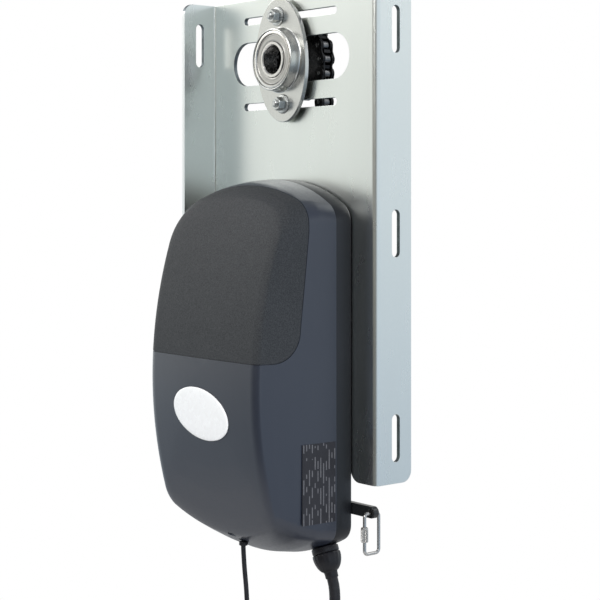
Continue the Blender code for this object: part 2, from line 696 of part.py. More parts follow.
def cover_rings(inset, back):
    """Rings of the cover's surface from the split line to the middle of the front face."""
    shape = [  # share of depth, side, top and bottom inset, top corner, bottom corner
        (0.0, 0.0, 0.0, 0.0, 19.0, 15.0, TOP_ARCH),
        (SIDE_LINE, 1.0, 1.2, 3.0, 20.0, 15.0, 165.0),
        (0.62, 3.2, 3.4, 9.0, 23.0, 16.0, 175.0),
        (0.84, 6.0, 8.5, 16.5, 28.0, 17.0, 180.0),
        (0.95, 8.0, 15.0, 21.0, 32.0, 17.0, 185.0),
        (1.0, 11.0, 23.0, 25.5, 34.0, 16.0, 190.0),
    ]
    rings = []
    for share, side, top, low, top_corner, low_corner, arch in shape:
        outline = house_outline(
            HOUSE_HALF - side - inset, HOUSE_TOP - top - inset, HOUSE_LOW + low + inset,
            arch, top_corner, low_corner)
        start = -SPLIT_Y
        rings.append([(x, -(start + share * (depth(z) - inset - start)), z) for x, z in outline])
    if back is not None:
        rings.insert(0, [(x, back, z) for x, y, z in rings[0]])
    edge = rings[-1]
    cz = FACE_MID_Z
    for share in (0.9, 0.6, 0.25):
        row = []
        for x, y, z in edge:
            nx, nz = x * share, cz + (z - cz) * share
            row.append((nx, -(depth(nz) - inset + CROWN * (1 - share ** 2)), nz))
        rings.append(row)
    return rings


def loft(rings, peak=None):
    """A closed skin through rings of points, whose last ring closes flat or on a peak."""
    bm = bmesh.new()
    rows = [[bm.verts.new(p) for p in row] for row in rings]
    count = len(rows[0])
    for one, two in zip(rows, rows[1:]):
        for i in range(count):
            j = (i + 1) % count
            bm.faces.new((one[i], one[j], two[j], two[i]))
    bm.faces.new(rows[0][::-1])
    if peak:
        tip = bm.verts.new(peak)
        for i in range(count):
            bm.faces.new((rows[-1][i], rows[-1][(i + 1) % count], tip))
    else:
        bm.faces.new(rows[-1])
    bmesh.ops.triangulate(bm, faces=[f for f in bm.faces if len(f.verts) == 4])
    return bm


def panel_side(play):
    """The textured panel's outline from the side, as a prism across the whole width."""
    low = PANEL_LOW - play
    rear_low, rear_high = -56.5 + play, -47.0 + play
    r = PANEL_CORNER + play
    outline = [(-130.0, low)]
    outline += arc(rear_low - r, low + r, r, 270, 360, 5)
    outline += [(rear_high, 2.0), (rear_high, 70.0), (-130.0, 70.0)]
    return prism(outline, "X", -110, 110)


def house(inset, back=None):
    return loft(cover_rings(inset, back), (0.0, -(depth(FACE_MID_Z) + CROWN - inset), FACE_MID_Z))


def make_cover(plastic, soft_black):
    """The front cover, with a shallow recess that the textured panel fills."""
    base = combine("front_cover", house(0.0), [house(WALL, -8.0)], "DIFFERENCE", plastic)
    recess = put("recess", panel_side(GAP), None)
    cut(recess, put("recess_core", house(RECESS, -10.0), None))
    cut(base, recess)
    cut(base, put("drain_slit", prism(slot(8.0, -70.0, 10.0, 4.2, 3), "Z", -290, -250), None))
    x, y, z = AERIAL_ROUTE[0]
    cut(base, put("aerial_hole", rod((x, y, z), "Z", 4.3, -14, 23, 12), None))
    finish(base, plastic)

    panel = put("inset_panel", house(0.0, -10.0), None)
    cut(panel, put("panel_side", panel_side(0.0), None), "INTERSECT")
    cut(panel, put("panel_core", house(RECESS - GAP, -5.0), None))
    finish(panel, soft_black)


def gland_place():
    """The gland's frame: its origin just under the curved underside, its Z square to it, pointing up."""
    lean = math.asin(GLAND_X / LOW_ARCH)
    reach = LOW_ARCH + GAP
    middle = HOUSE_LOW + LOW_ARCH
    spot = Vector((reach * math.sin(lean), GLAND_Y, middle - reach * math.cos(lean)))
    return Matrix.Translation(spot) @ Matrix.Rotation(-lean, 4, "Y")


def make_base(plastic, black):
    def shell(inset, rows):
        rings = []
        for y, more in rows:
            outline = house_outline(HOUSE_HALF - inset - more, HOUSE_TOP - inset - more,
                                    HOUSE_LOW + inset + more, TOP_ARCH, 19.0, 15.0)
            rings.append([(x, y, z) for x, z in outline])
        return loft(rings)

    outer = shell(0.0, [(BASE_BACK, 1.8), (BASE_BACK - 2.0, 0.4), (SPLIT_Y + GAP, 0.0)])
    inner = shell(WALL, [(BASE_BACK - WALL, 0.0), (SPLIT_Y - 6, 0.0)])
    holes = prism(circle(DRIVE_X, OUTPUT_Z, SHAFT_HOLE_R, 20), "Y", *BACK_CUT)
    for x, z in mount_spots():
        prism(circle(x, z, BOLT_HOLE_R, 10), "Y", *BACK_CUT, holes)
    prism(circle(LEVER_PIVOT_X, LEVER_Z, 4.3, 12), "Y", *BACK_CUT, holes)
    neck = rod((0, 0, 0), "Z", 5.2, -10, 14, 16)
    bmesh.ops.transform(neck, matrix=gland_place(), verts=neck.verts)
    combine("base_shell", outer, [inner, holes, neck], "DIFFERENCE", plastic)

    low, high, wide = -247.0, 24.0, 74.0
    back = BASE_BACK - WALL - GAP
    plate = prism(rounded(0, (low + high) / 2, 2 * wide, high - low, 9, 3), "Y", back - 3.0, back)
    holes = prism(circle(DRIVE_X, OUTPUT_Z, SHAFT_HOLE_R, 20), "Y", *BACK_CUT)
    prism(circle(LEVER_PIVOT_X, LEVER_Z, 4.3, 12), "Y", *BACK_CUT, holes)
    for x, z in mount_spots():
        prism(circle(x, z, BOLT_HOLE_R, 10), "Y", *BACK_CUT, holes)
    combine("mount_plate", plate, [holes], "DIFFERENCE", black)


def make_mount_bolts(zinc):
    head = SHEET + GAP
    for number, (x, z) in enumerate(mount_spots(), 1):
        bolt = lathe([(0, -10.5), (3.0, -10.5), (3.0, head), (7.2, head), (7.2, head + 1.2),
                      (5.7, head + 1.3), (5.7, head + 5.4), (0, head + 5.4)], (x, 0, z), "Y", 12)
        put(f"mount_bolt_{number}", bolt, zinc)


def face_y(x, z, inset):
    """The front face's depth at a point, with its slight crown."""
    share = min(1.0, abs(x) / (HOUSE_HALF - 11.0))
    return -(depth(z) + CROWN * (1 - share ** 2)) + inset


def make_badges(white, black):
    """A blank oval badge on the front face and a blank label on the right side."""
    (cx, cz), (wide, high), turn_by = BADGE_AT, BADGE_HALF, math.radians(BADGE_TURN)
    bm = bmesh.new()
    rows = []
    for lift, scale in ((-0.45, 1.0), (-1.25, 1.0), (-1.6, 0.96)):
        row = []
        for i in range(36):
            a = 2 * math.pi * i / 36
            u, v = wide * scale * math.cos(a), high * scale * math.sin(a)
            x = cx + u * math.cos(turn_by) - v * math.sin(turn_by)
            z = cz + u * math.sin(turn_by) + v * math.cos(turn_by)
            row.append(bm.verts.new((x, face_y(x, z, 0.0) + lift, z)))
        rows.append(row)
    for one, two in zip(rows, rows[1:]):
        for i in range(36):
            j = (i + 1) % 36
            bm.faces.new((one[i], one[j], two[j], two[i]))
    for row in (rows[0], rows[-1]):
        lift = row[0].co.y - face_y(row[0].co.x, row[0].co.z, 0.0)
        hub = bm.verts.new((cx, face_y(cx, cz, 0.0) + lift, cz))
        for i in range(36):
            bm.faces.new((row[i], row[(i + 1) % 36], hub))
    put("badge", bm, white)

    start, end = -SPLIT_Y + 1.2, LABEL_FRONT
    slope = 1.0 / (SIDE_LINE * (depth(sum(LABEL_Z) / 2) + SPLIT_Y))
    corners = []
    for y in (start, end):
        face = HOUSE_HALF - (y + SPLIT_Y) * slope
        corners += [(face + GAP, -y), (face + GAP + 0.5, -y)]
    outline = [corners[0], corners[1], corners[3], corners[2]]
    put("rating_label", prism(outline, "Z", *LABEL_Z), black)


# ---------------------------------------------------------------- electronics


def make_electronics(green, black, copper):
    put("control_board", box((-72.0, -24.6, -238.0), (36.0, -23.0, -158.0)), green)
    trafo = box((-79.0, -50.0, -152.0), (-48.0, -12.5, -112.0))
    put("transformer", trafo, copper)
    put("terminal_block", box((-60.0, -37.0, -236.0), (20.0, -25.0, -224.0)), black)
    put("relay_block", box((-62.0, -41.0, -196.0), (-34.0, -25.0, -176.0)), black)


# ---------------------------------------------------------------- release lever and quick link


def make_lever(black, zinc):
    y0, y1 = LEVER_Y
    half = LEVER_HIGH / 2
    outline = arc(LEVER_EYE_X, LEVER_Z, half, -90, 90, 5)
    outline += [(LEVER_PIVOT_X + 14, LEVER_Z + half)]
    outline += arc(LEVER_PIVOT_X, LEVER_Z, 9.0, 50, 310, 8)
    outline += [(LEVER_PIVOT_X + 14, LEVER_Z - half)]
    body = prism(outline, "Y", y0, y1)
    holes = prism(circle(LEVER_EYE_X, LEVER_Z, 2.6, 12), "Y", y0 - 3, y1 + 3)
    prism(circle(LEVER_PIVOT_X, LEVER_Z, 4.2, 14), "Y", y0 - 3, y1 + 3, holes)
    pivot = (LEVER_PIVOT_X, (y0 + y1) / 2, LEVER_Z)
    combine("release_lever", body, [holes], "DIFFERENCE", black, pivot)
    start, head = BASE_BACK - 8.0, y1 + GAP
    pin = lathe([(0, start), (3.9, start), (3.9, head), (7.5, head), (7.5, head + 1.7), (6.5, head + 2.5),
                 (0, head + 2.5)], (LEVER_PIVOT_X, 0, LEVER_Z), "Y", 16)
    put("lever_pivot", pin, zinc)


def link_line():
    """The quick link's wire: from the lower end of the gap in its front leg, round to the upper one."""
    front, rear = LINK_FRONT, LINK_FRONT + LINK_DEEP
    top = LEVER_Z - 0.4
    low = top - LINK_HIGH
    corner = 3.5
    gap_low, gap_high = top - 19.1, top - 15.1
    flat = [(front, gap_low)]
    flat += arc(front + corner, low + corner, corner, 180, 270, 4)
    flat += arc(rear - corner, low + corner, corner, 270, 360, 4)
    flat += arc(rear - corner, top - corner, corner, 0, 90, 4)
    flat += arc(front + corner, top - corner, corner, 90, 180, 4)
    flat += [(front, gap_high)]
    return [Vector((LEVER_EYE_X, y, z)) for y, z in flat], (gap_low, gap_high)


def make_link(steel):
    line, (low, high) = link_line()
    tube("quick_link", line, LINK_WIRE, steel, (LEVER_EYE_X, (LEVER_Y[0] + LEVER_Y[1]) / 2, LEVER_Z), 1)
    sleeve = ring((LEVER_EYE_X, LINK_FRONT, 0), "Z", LINK_WIRE + GAP, 3.2, low - 4.5, high + 3.9, 6)
    put("link_sleeve", sleeve, steel, (LEVER_EYE_X, LINK_FRONT, (low + high) / 2))


# ---------------------------------------------------------------- cables


def make_gland(rubber, black):
    """The gland's neck and collar in the base, and below it the domed nut that tapers to the cable."""
    place = gland_place()
    collar = lathe([(0, 16.0), (4.6, 16.0), (4.6, 0.0), (11.3, 0.0), (11.8, -0.8), (11.8, -COLLAR_LONG),
                    (0, -COLLAR_LONG)], (0, 0, 0), "Z", 20)
    top = -COLLAR_LONG - GAP
    dome = lathe([(0, top), (12.0, top), (12.4, top - 1.5), (12.0, top - 6.0), (10.3, top - 11.0),
                  (7.6, top - 15.0), (5.6, top - 15.4), (5.4, -RELIEF_END), (0, -RELIEF_END)],
                 (0, 0, 0), "Z", 20)
    for name, piece, material in (("cable_gland", collar, black), ("strain_relief", dome, rubber)):
        bmesh.ops.transform(piece, matrix=place, verts=piece.verts)
        put(name, piece, material)


def make_coil(cable_black, black):
    """The tied-up length: a ring as thick as the bundle, with a flat strap round its left side."""
    c = COIL_THICK / 2
    section = [(COIL_R + u, v) for u, v in rounded(0, 0, 2 * c, 2 * c, 0.4 * c, 1)]
    put("power_coil", lathe(section, COIL_CENTRE, "Y", 28), cable_black)
    x, y, z = COIL_CENTRE + Vector((-COIL_R, 0, 0))
    inner = 2 * (c + 2 * GAP)
    outer = inner + 3.6
    tie = prism(rounded(x, y, outer, outer, 6, 3), "Z", z - 4, z + 4)
    hole = prism(rounded(x, y, inner, inner, 4.6, 3), "Z", z - 9, z + 9)
    combine("cable_tie", tie, [hole], "DIFFERENCE", black)


def make_plug(black):
    """A round two-pin plug that hangs on the end of the lead."""
    start = Vector(TAIL_ROUTE[-1]) - Vector((0, 0, GAP))
    body = lathe([(0, 0), (7.0, 0), (9.0, -8.0), (16.0, -16.0), (18.5, -20.0), (18.5, -34.0), (0, -34.0)],
                 start, "Z", 24)
    pins = bmesh.new()
    for side in (-9.5, 9.5):
        rod(start + Vector((side, 0, 0)), "Z", 2.4, -53.0, -30.0, 8, pins)
    combine("power_plug", body, [pins], "UNION", black)


def make_cables(cable_black, black, rubber):
    make_gland(rubber, black)
    tube("power_cable", smooth_line(POWER_ROUTE, 8.0), CABLE_R, cable_black)
    make_coil(cable_black, black)
    tube("power_tail", smooth_line(TAIL_ROUTE, 8.0), CABLE_R, cable_black)
    make_plug(black)

    grommet = lathe([(0, 12.0), (3.9, 12.0), (3.9, 3.0), (3.4, GAP), (0, GAP)], AERIAL_ROUTE[0], "Z", 14)
    put("aerial_grommet", grommet, rubber)
    tube("aerial_lead", smooth_line(AERIAL_ROUTE, 5.6), AERIAL_R, cable_black)


def main():
    clear()
    zinc = look("zinc_plate", (0.62, 0.66, 0.68), 0.32, 1.0)
    steel = look("ground_steel", (0.72, 0.72, 0.70), 0.24, 1.0)
    chain_black = look("oiled_black", (0.025, 0.025, 0.027), 0.38, 0.7)
    plastic = look("anthracite_plastic", (0.052, 0.060, 0.075), 0.36)
    soft_black = look("textured_panel", (0.055, 0.058, 0.060), 0.75)
    black = look("black_plastic", (0.012, 0.012, 0.014), 0.45)
    white = look("badge_white", (0.90, 0.90, 0.90), 0.25)
    alloy = look("cast_alloy", (0.50, 0.51, 0.52), 0.55, 1.0)
    brass = look("bronze_wheel", (0.60, 0.42, 0.16), 0.35, 1.0)
    copper = look("winding_copper", (0.55, 0.26, 0.12), 0.4, 1.0)
    green = look("board_green", (0.03, 0.16, 0.07), 0.4)
    rubber = look("black_rubber", (0.015, 0.015, 0.016), 0.7)
    cable_black = look("cable_black", (0.018, 0.019, 0.021), 0.5)

    make_bracket(zinc)
    make_flange_plate(zinc)
    make_bearing(steel)
    make_flange_bolts(zinc)
    make_drive(chain_black, steel, zinc)
    make_wheel(brass)
    make_worm(steel)
    make_gearbox(alloy, steel, black, copper)
    make_cover(plastic, soft_black)
    make_base(plastic, black)
    make_mount_bolts(zinc)
    make_badges(white, black)
    make_electronics(green, black, copper)
    make_lever(black, zinc)
    make_link(steel)
    make_cables(cable_black, black, rubber)


main()
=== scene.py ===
import math

import bmesh
import bpy
from mathutils import Matrix, Vector


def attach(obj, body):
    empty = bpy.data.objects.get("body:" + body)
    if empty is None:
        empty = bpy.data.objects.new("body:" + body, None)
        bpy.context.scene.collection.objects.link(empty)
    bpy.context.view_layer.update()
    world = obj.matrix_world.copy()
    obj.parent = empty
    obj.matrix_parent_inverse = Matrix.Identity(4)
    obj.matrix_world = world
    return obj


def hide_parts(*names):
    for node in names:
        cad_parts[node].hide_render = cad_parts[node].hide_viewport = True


# Looks for a side-mounted chain-drive gearmotor on its Z-shaped steel bracket. X runs to the right,
# Y to the rear and Z up, from the middle of the bracket's six fixing slots. Sizes are millimetres
# until a piece is put down.

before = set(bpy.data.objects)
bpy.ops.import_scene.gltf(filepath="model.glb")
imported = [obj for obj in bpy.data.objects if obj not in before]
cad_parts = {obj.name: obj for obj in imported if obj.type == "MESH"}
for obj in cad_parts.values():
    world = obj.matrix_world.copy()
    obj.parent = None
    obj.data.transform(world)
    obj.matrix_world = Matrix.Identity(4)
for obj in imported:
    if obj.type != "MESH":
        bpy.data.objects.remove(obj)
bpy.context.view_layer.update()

MM = 0.001
GAP = 0.3

# The camera looks level, from in front of the object's right-hand side
CAMERA_AT = (1.07584, -0.87709, 0.03332)
CAMERA_TURN = 50.4
LENS = 92.54
LENS_SHIFT = -0.176

# The bracket, and the holes that it shares with the housing
SHEET = 4.0
BRACKET_HALF = 116.2
BRACKET_TOP = 213.0
FLANGE_FRONT = -35.2
FLANGE_REAR = 40.8
BEND_OUT = 5.0
BEND_IN = 1.2
FLANGE_SLOT = (9.1, 40.6)
FLANGE_SLOT_PITCH = 174.3
LEFT_SLOT_Y = -17.3
RIGHT_SLOT_Y = 22.8
WEB_SLOT = (131.4, 6.7)
WEB_HOLE = (164.0, 40.1)
NOTCH_HALF = 83.6
NOTCH_HIGH = 55.0
FLANGE_CORNER = 10.0
WEB_CUT = (-9.0, 12.0)
OUTPUT_HOLE = 15.0
MOUNT_HOLE = 3.3

# The chain drive behind the web
DRIVE_X = -3.0
BEARING_Z = 154.0
BOLT_RISE = 39.8
PITCH = 12.7
DOOR_TEETH = 16
OUTPUT_TEETH = 12
RUN_LINKS = 20
DOOR_RADIUS = PITCH / 2 / math.sin(math.pi / DOOR_TEETH)
OUTPUT_RADIUS = PITCH / 2 / math.sin(math.pi / OUTPUT_TEETH)
OUTPUT_Z = BEARING_Z - math.sqrt((RUN_LINKS * PITCH) ** 2 - (DOOR_RADIUS - OUTPUT_RADIUS) ** 2)
CHAIN_Y = 17.5
TOOTH_WIDE = 7.2
INNER_LINK = 3.95
OUTER_LINK = 5.5
LINK_THICK = 1.35
LINK_END = 5.6
LINK_WAIST = 4.3
DOOR_BORE = 12.75

# The bearing and its pressed plate
BEARING_OD = 52.0
BEARING_FACE = -17.5
BEARING_WIDE = 15.0
CUP_R = 27.8
PLATE_THICK = 4.0
PLATE_BACK = -3.6
OVAL = (35.0, 56.0)
OVAL_TURN = 5.5

# The housing
SPLIT_Y = -18.3
BASE_BACK = -0.3
HOUSE_HALF = 86.3
HOUSE_TOP = 46.8
HOUSE_LOW = -283.0
TOP_ARCH = 150.0
LOW_ARCH = 167.0
TOP_CORNER = 19.0
LOW_CORNER = 15.0
FIRST_SHARE = 0.36
FIRST_INSET = 1.0
FACE_INSET = 11.0
DEEPEST = 97.8
DEEPEST_Z = -128.0
DEPTH_BOW = 0.00138
CROWN = 1.5
FACE_MID_Z = -118.0
WALL = 3.0
RECESS = 1.5
PANEL_LOW = -106.8
PANEL_CORNER = 26.0
GROOVE = 0.55
BADGE_AT = (0.6, -155.0)
BADGE_HALF = (39.0, 22.0)
BADGE_TURN = -8.0
LABEL_Z = (-244.0, -176.3)
LABEL_FRONT = 55.0

# The release lever and its quick link
LEVER_Z = -236.0
LEVER_PIVOT_X = 22.0
LEVER_EYE_X = 108.5
LEVER_HIGH = 10.0
LEVER_Y = (0.4, 6.2)
LINK_WIRE = 1.45
LINK_FRONT = -6.2
LINK_DEEP = 16.1
LINK_HIGH = 34.2

# The cables: the power lead leaves the gland, is wound up and tied, and ends in its plug
GLAND_X = 63.2
GLAND_Y = -12.0
COLLAR_LONG = 5.5
RELIEF_END = 27.0
CABLE_R = 4.75
AERIAL_R = 2.1
COIL_CENTRE = Vector((24.6, -16.75, -401.5))
COIL_R = 53.5
COIL_START = 10
COIL_TURN = 1360
COIL_STEP = 8
SHIFT_FROM = 75
SHIFT_TO = 25
POWER_ROUTE = [
    (73.8, -12.0, -296.5),
    (75.8, -12.0, -302.2),
    (76.8, -12.0, -309.0),
    (77.0, -12.0, -318.0),
    (77.2, -12.0, -328.0),
    (77.6, -12.0, -338.0),
    (78.2, -12.0, -348.0),
    (78.8, -12.0, -357.0),
]
TAIL_ROUTE = [
    (61.0, -21.5, -343.2),
    (70.0, -21.5, -344.4),
    (79.0, -21.5, -347.7),
    (87.0, -21.5, -353.2),
    (93.5, -21.5, -361.0),
    (97.8, -21.5, -370.0),
    (99.5, -21.5, -380.0),
    (99.6, -21.5, -396.0),
    (99.6, -21.5, -413.0),
]
LEAD_IN = (80.4, -12.0, -372.0)
AERIAL_ROUTE = [
    (11.1, -60.0, -277.6),
    (12.6, -60.0, -292.0),
    (14.9, -60.0, -308.0),
    (16.6, -60.0, -328.0),
    (17.0, -59.8, -352.0),
    (16.4, -59.4, -378.0),
    (15.4, -59.0, -402.0),
    (14.6, -58.8, -424.0),
    (14.2, -58.7, -445.0),
]

# The studio: how the light changes along three axes, each with its (place from -1 to 1, colour) stops.
# It is darker high up and low down, is darkest straight in front, and runs from a bright, warm left to
# a cooler right.
FLOOR_Z = -560.0
STUDIO = [
    ((0.0, 0.0, 1.0), [
        (-0.6, (0.16, 0.18, 0.21)),
        (-0.2, (0.57, 0.64, 0.71)),
        (0.02, (0.92, 0.95, 0.95)),
        (0.25, (0.95, 0.96, 0.95)),
        (0.5, (0.40, 0.41, 0.43)),
    ]),
    ((0.1, -0.995, 0.0), [
        (-1.0, (1.0, 1.0, 1.0)),
        (0.60, (1.0, 1.0, 1.0)),
        (0.73, (0.62, 0.61, 0.59)),
        (0.86, (0.27, 0.25, 0.23)),
        (1.0, (0.20, 0.18, 0.15)),
    ]),
    ((1.0, 0.0, 0.0), [
        (-1.0, (1.9, 1.9, 1.86)),
        (-0.84, (1.25, 1.25, 1.22)),
        (-0.72, (0.97, 0.96, 0.94)),
        (0.5, (0.92, 0.95, 1.0)),
        (1.0, (0.90, 0.97, 1.07)),
    ]),
]


# ---------------------------------------------------------------- camera


def make_camera():
    data = bpy.data.cameras.new("camera")
    data.sensor_width = 36.0
    data.lens = LENS
    data.shift_y = LENS_SHIFT
    camera = bpy.data.objects.new("camera", data)
    camera.location = CAMERA_AT
    camera.rotation_euler = (math.radians(90.0), 0.0, math.radians(CAMERA_TURN))
    bpy.context.scene.collection.objects.link(camera)
    bpy.context.scene.camera = camera


# ---------------------------------------------------------------- materials


def set_stops(ramp, stops):
    """Gives a colour ramp node its (position, linear colour) stops."""
    points = ramp.color_ramp.elements
    while len(points) < len(stops):
        points.new(0.5)
    for point, (position, colour) in zip(points, stops):
        point.position = position
        point.color = (*colour, 1.0)


def blend_node(tree, kind):
    """A Mix node for colours, with its two colour inputs and its output."""
    made = tree.nodes.new("ShaderNodeMix")
    made.data_type = "RGBA"
    made.blend_type = kind
    made.inputs["Factor"].default_value = 1.0
    return made, made.inputs[6], made.inputs[7], made.outputs[2]


class Look:
    """A Principled material that is built up from layers of noise."""

    def __init__(self, name, rough, metal=0.0):
        self.made = bpy.data.materials.new(name)
        self.made.use_nodes = True
        self.tree = self.made.node_tree
        self.shader = self.tree.nodes["Principled BSDF"]
        self.shader.inputs["Roughness"].default_value = rough
        self.shader.inputs["Metallic"].default_value = metal
        self.spot = self.tree.nodes.new("ShaderNodeTexCoord").outputs["Object"]
        self.normal = None

    def join(self, a, b):
        self.tree.links.new(a, b)

    def feed(self, socket, value):
        """Links another node's output to a socket, or sets a plain number on it."""
        if hasattr(value, "links"):
            self.join(value, socket)
        else:
            socket.default_value = value

    def noise(self, scale, stretch=(1.0, 1.0, 1.0), detail=3.0):
        """Noise with about 'scale' grains in a metre, drawn out along an axis by a small stretch."""
        place = self.tree.nodes.new("ShaderNodeMapping")
        place.inputs["Scale"].default_value = stretch
        self.join(self.spot, place.inputs["Vector"])
        made = self.tree.nodes.new("ShaderNodeTexNoise")
        made.inputs["Scale"].default_value = scale
        made.inputs["Detail"].default_value = detail
        made.inputs["Roughness"].default_value = 0.55
        self.join(place.outputs["Vector"], made.inputs["Vector"])
        return made.outputs["Fac"]

    def cells(self, scale):
        """Rounded cells, about 'scale' of them in a metre, as the distance from each one's middle."""
        made = self.tree.nodes.new("ShaderNodeTexVoronoi")
        made.feature = "SMOOTH_F1"
        made.inputs["Scale"].default_value = scale
        self.join(self.spot, made.inputs["Vector"])
        return made.outputs["Distance"]

    def axis(self, name):
        made = self.tree.nodes.new("ShaderNodeSeparateXYZ")
        self.join(self.spot, made.inputs["Vector"])
        return made.outputs[name]

    def ramp(self, value, stops):
        made = self.tree.nodes.new("ShaderNodeValToRGB")
        set_stops(made, stops)
        self.join(value, made.inputs["Fac"])
        return made.outputs["Color"]

    def drift(self, value, low, high, start=0.3, end=0.7):
        """One colour that drifts into another along a layer of noise."""
        return self.ramp(value, [(start, low), (end, high)])

    def between(self, value, low, high):
        """A number that drifts from low to high along a layer of noise."""
        made = self.tree.nodes.new("ShaderNodeMapRange")
        made.inputs["From Min"].default_value = 0.3
        made.inputs["From Max"].default_value = 0.7
        made.inputs["To Min"].default_value = low
        made.inputs["To Max"].default_value = high
        self.join(value, made.inputs["Value"])
        return made.outputs["Result"]

    def mix(self, kind, share, one, two):
        made, first, second, mixed = blend_node(self.tree, kind)
        self.feed(made.inputs["Factor"], share)
        self.join(one, first)
        self.join(two, second)
        return mixed

    def maths(self, kind, one, two=0.0):
        made = self.tree.nodes.new("ShaderNodeMath")
        made.operation = kind
        self.feed(made.inputs[0], one)
        self.feed(made.inputs[1], two)
        return made.outputs["Value"]

    def print_rows(self, pitch, thick):
        """A mask of upright bars, 'pitch' apart across Y, broken up unevenly along Z."""
        row_shift, marks_a_metre, blank = 3.7, 110.0, 0.54
        across, along = self.axis("Y"), self.axis("Z")
        row = self.maths("FLOOR", self.maths("DIVIDE", across, pitch))
        within = self.maths("SUBTRACT", across, self.maths("MULTIPLY", row, pitch))
        bar = self.maths("LESS_THAN", within, thick)
        made = self.tree.nodes.new("ShaderNodeTexNoise")
        made.noise_dimensions = "2D"
        made.inputs["Scale"].default_value = 1.0
        made.inputs["Detail"].default_value = 0.0
        place = self.tree.nodes.new("ShaderNodeCombineXYZ")
        self.join(self.maths("MULTIPLY", row, row_shift), place.inputs["X"])
        self.join(self.maths("MULTIPLY", along, marks_a_metre), place.inputs["Y"])
        self.join(place.outputs["Vector"], made.inputs["Vector"])
        return self.maths("MULTIPLY", bar, self.maths("GREATER_THAN", made.outputs["Fac"], blank))

    def colour(self, value):
        self.join(value, self.shader.inputs["Base Color"])

    def rough(self, value):
        self.join(value, self.shader.inputs["Roughness"])

    def bump(self, value, height, strength):
        """Adds relief, whose height is in millimetres."""
        made = self.tree.nodes.new("ShaderNodeBump")
        made.inputs["Strength"].default_value = strength
        made.inputs["Distance"].default_value = height * MM
        self.join(value, made.inputs["Height"])
        if self.normal:
            self.join(self.normal, made.inputs["Normal"])
        self.normal = made.outputs["Normal"]
        self.join(self.normal, self.shader.inputs["Normal"])

    def set(self, **values):
        for name, value in values.items():
            self.shader.inputs[name.replace("_", " ")].default_value = value


def shade(colour, by):
    return tuple(c * by for c in colour)


def zinc_look(name, colour, rough, depth=0.03):
    """Satin zinc plate: faint upright streaks from the rolling, a fine spangle and soft rub marks."""
    made = Look(name, rough, 1.0)
    streaks = made.noise(22.0, (1.0, 1.0, 0.08), 3.0)
    spangle = made.noise(520.0, detail=4.0)
    grey = made.drift(streaks, shade(colour, 1.0 - depth), colour)
    fine = made.drift(spangle, (0.985, 0.987, 0.988), (1.0, 1.0, 1.0), 0.35, 0.65)
    made.colour(made.mix("MULTIPLY", 1.0, grey, fine))
    cloud = made.noise(45.0, (1.0, 1.0, 0.3), 5.0)
    made.rough(made.between(cloud, rough * 0.95, rough * 1.06))
    return made.made


def turned_look(name, colour, rough, depth=0.1):
    """Turned or ground steel with fine tool marks."""
    made = Look(name, rough, 1.0)
    made.colour(made.drift(made.noise(160.0), shade(colour, 1.0 - depth), colour))
    made.rough(made.between(made.noise(380.0), rough * 0.8, rough * 1.25))
    made.bump(made.noise(1500.0, (1.0, 0.1, 1.0), 2.0), 0.008, 0.6)
    return made.made


def oiled_look():
    """Blackened steel under an uneven film of oil, brighter where it has rubbed."""
    made = Look("oiled_black", 0.36, 0.85)
    film = made.noise(210.0, detail=5.0)
    stops = [(0.34, (0.013, 0.013, 0.014)), (0.58, (0.024, 0.024, 0.025)), (0.78, (0.046, 0.045, 0.045))]
    made.colour(made.ramp(film, stops))
    made.rough(made.between(made.noise(330.0), 0.22, 0.36))
    made.bump(made.noise(900.0), 0.006, 0.6)
    return made.made


def moulded_look(name, low, high, rough, grain=1500.0, height=0.02, cloudy=9.0, gloss=0.5):
    """Moulded plastic with a faint spark-eroded grain."""
    made = Look(name, rough)
    made.set(Specular_IOR_Level=gloss)
    made.colour(made.drift(made.noise(cloudy, detail=2.0), low, high))
    made.rough(made.between(made.noise(grain * 0.4), rough * 0.9, rough * 1.12))
    made.bump(made.noise(grain, detail=2.0), height, 0.8)
    return made.made


def panel_look():
    """The inset panel's leather-like grain, in matt black-grey."""
    made = Look("textured_panel", 0.62)
    speck = made.drift(made.noise(1100.0, detail=4.0), (0.016, 0.018, 0.021), (0.038, 0.041, 0.045),
                       0.36, 0.64)
    wide = made.drift(made.noise(11.0, (0.5, 1.0, 2.2), 2.0), (0.9, 0.9, 0.9), (1.0, 1.0, 1.0))
    made.colour(made.mix("MULTIPLY", 1.0, speck, wide))
    made.rough(made.between(made.noise(700.0), 0.55, 0.72))
    made.bump(made.cells(820.0), 0.12, 0.55)
    made.bump(made.noise(1900.0), 0.05, 0.6)
    made.set(Specular_IOR_Level=0.42)
    return made.made


def cover_look():
    """Satin anthracite plastic: blue-grey, with a fine grain and a slow drift in its gloss."""
    made = Look("anthracite_plastic", 0.32)
    made.colour(made.drift(made.noise(8.0, detail=2.0), (0.017, 0.021, 0.033), (0.021, 0.026, 0.039)))
    made.rough(made.between(made.noise(500.0), 0.28, 0.37))
    made.bump(made.noise(1700.0, detail=2.0), 0.02, 0.6)
    made.bump(made.noise(16.0, detail=1.0), 0.25, 0.25)
    made.set(Specular_IOR_Level=0.72)
    return made.made


def badge_look():
    """The badge: glossy white plastic under a clear coat."""
    made = Look("badge_white", 0.22)
    made.colour(made.drift(made.noise(45.0), (0.965, 0.965, 0.96), (0.985, 0.985, 0.985)))
    made.rough(made.between(made.noise(90.0), 0.25, 0.29))
    made.set(Coat_Weight=0.5, Coat_Roughness=0.08)
    return made.made


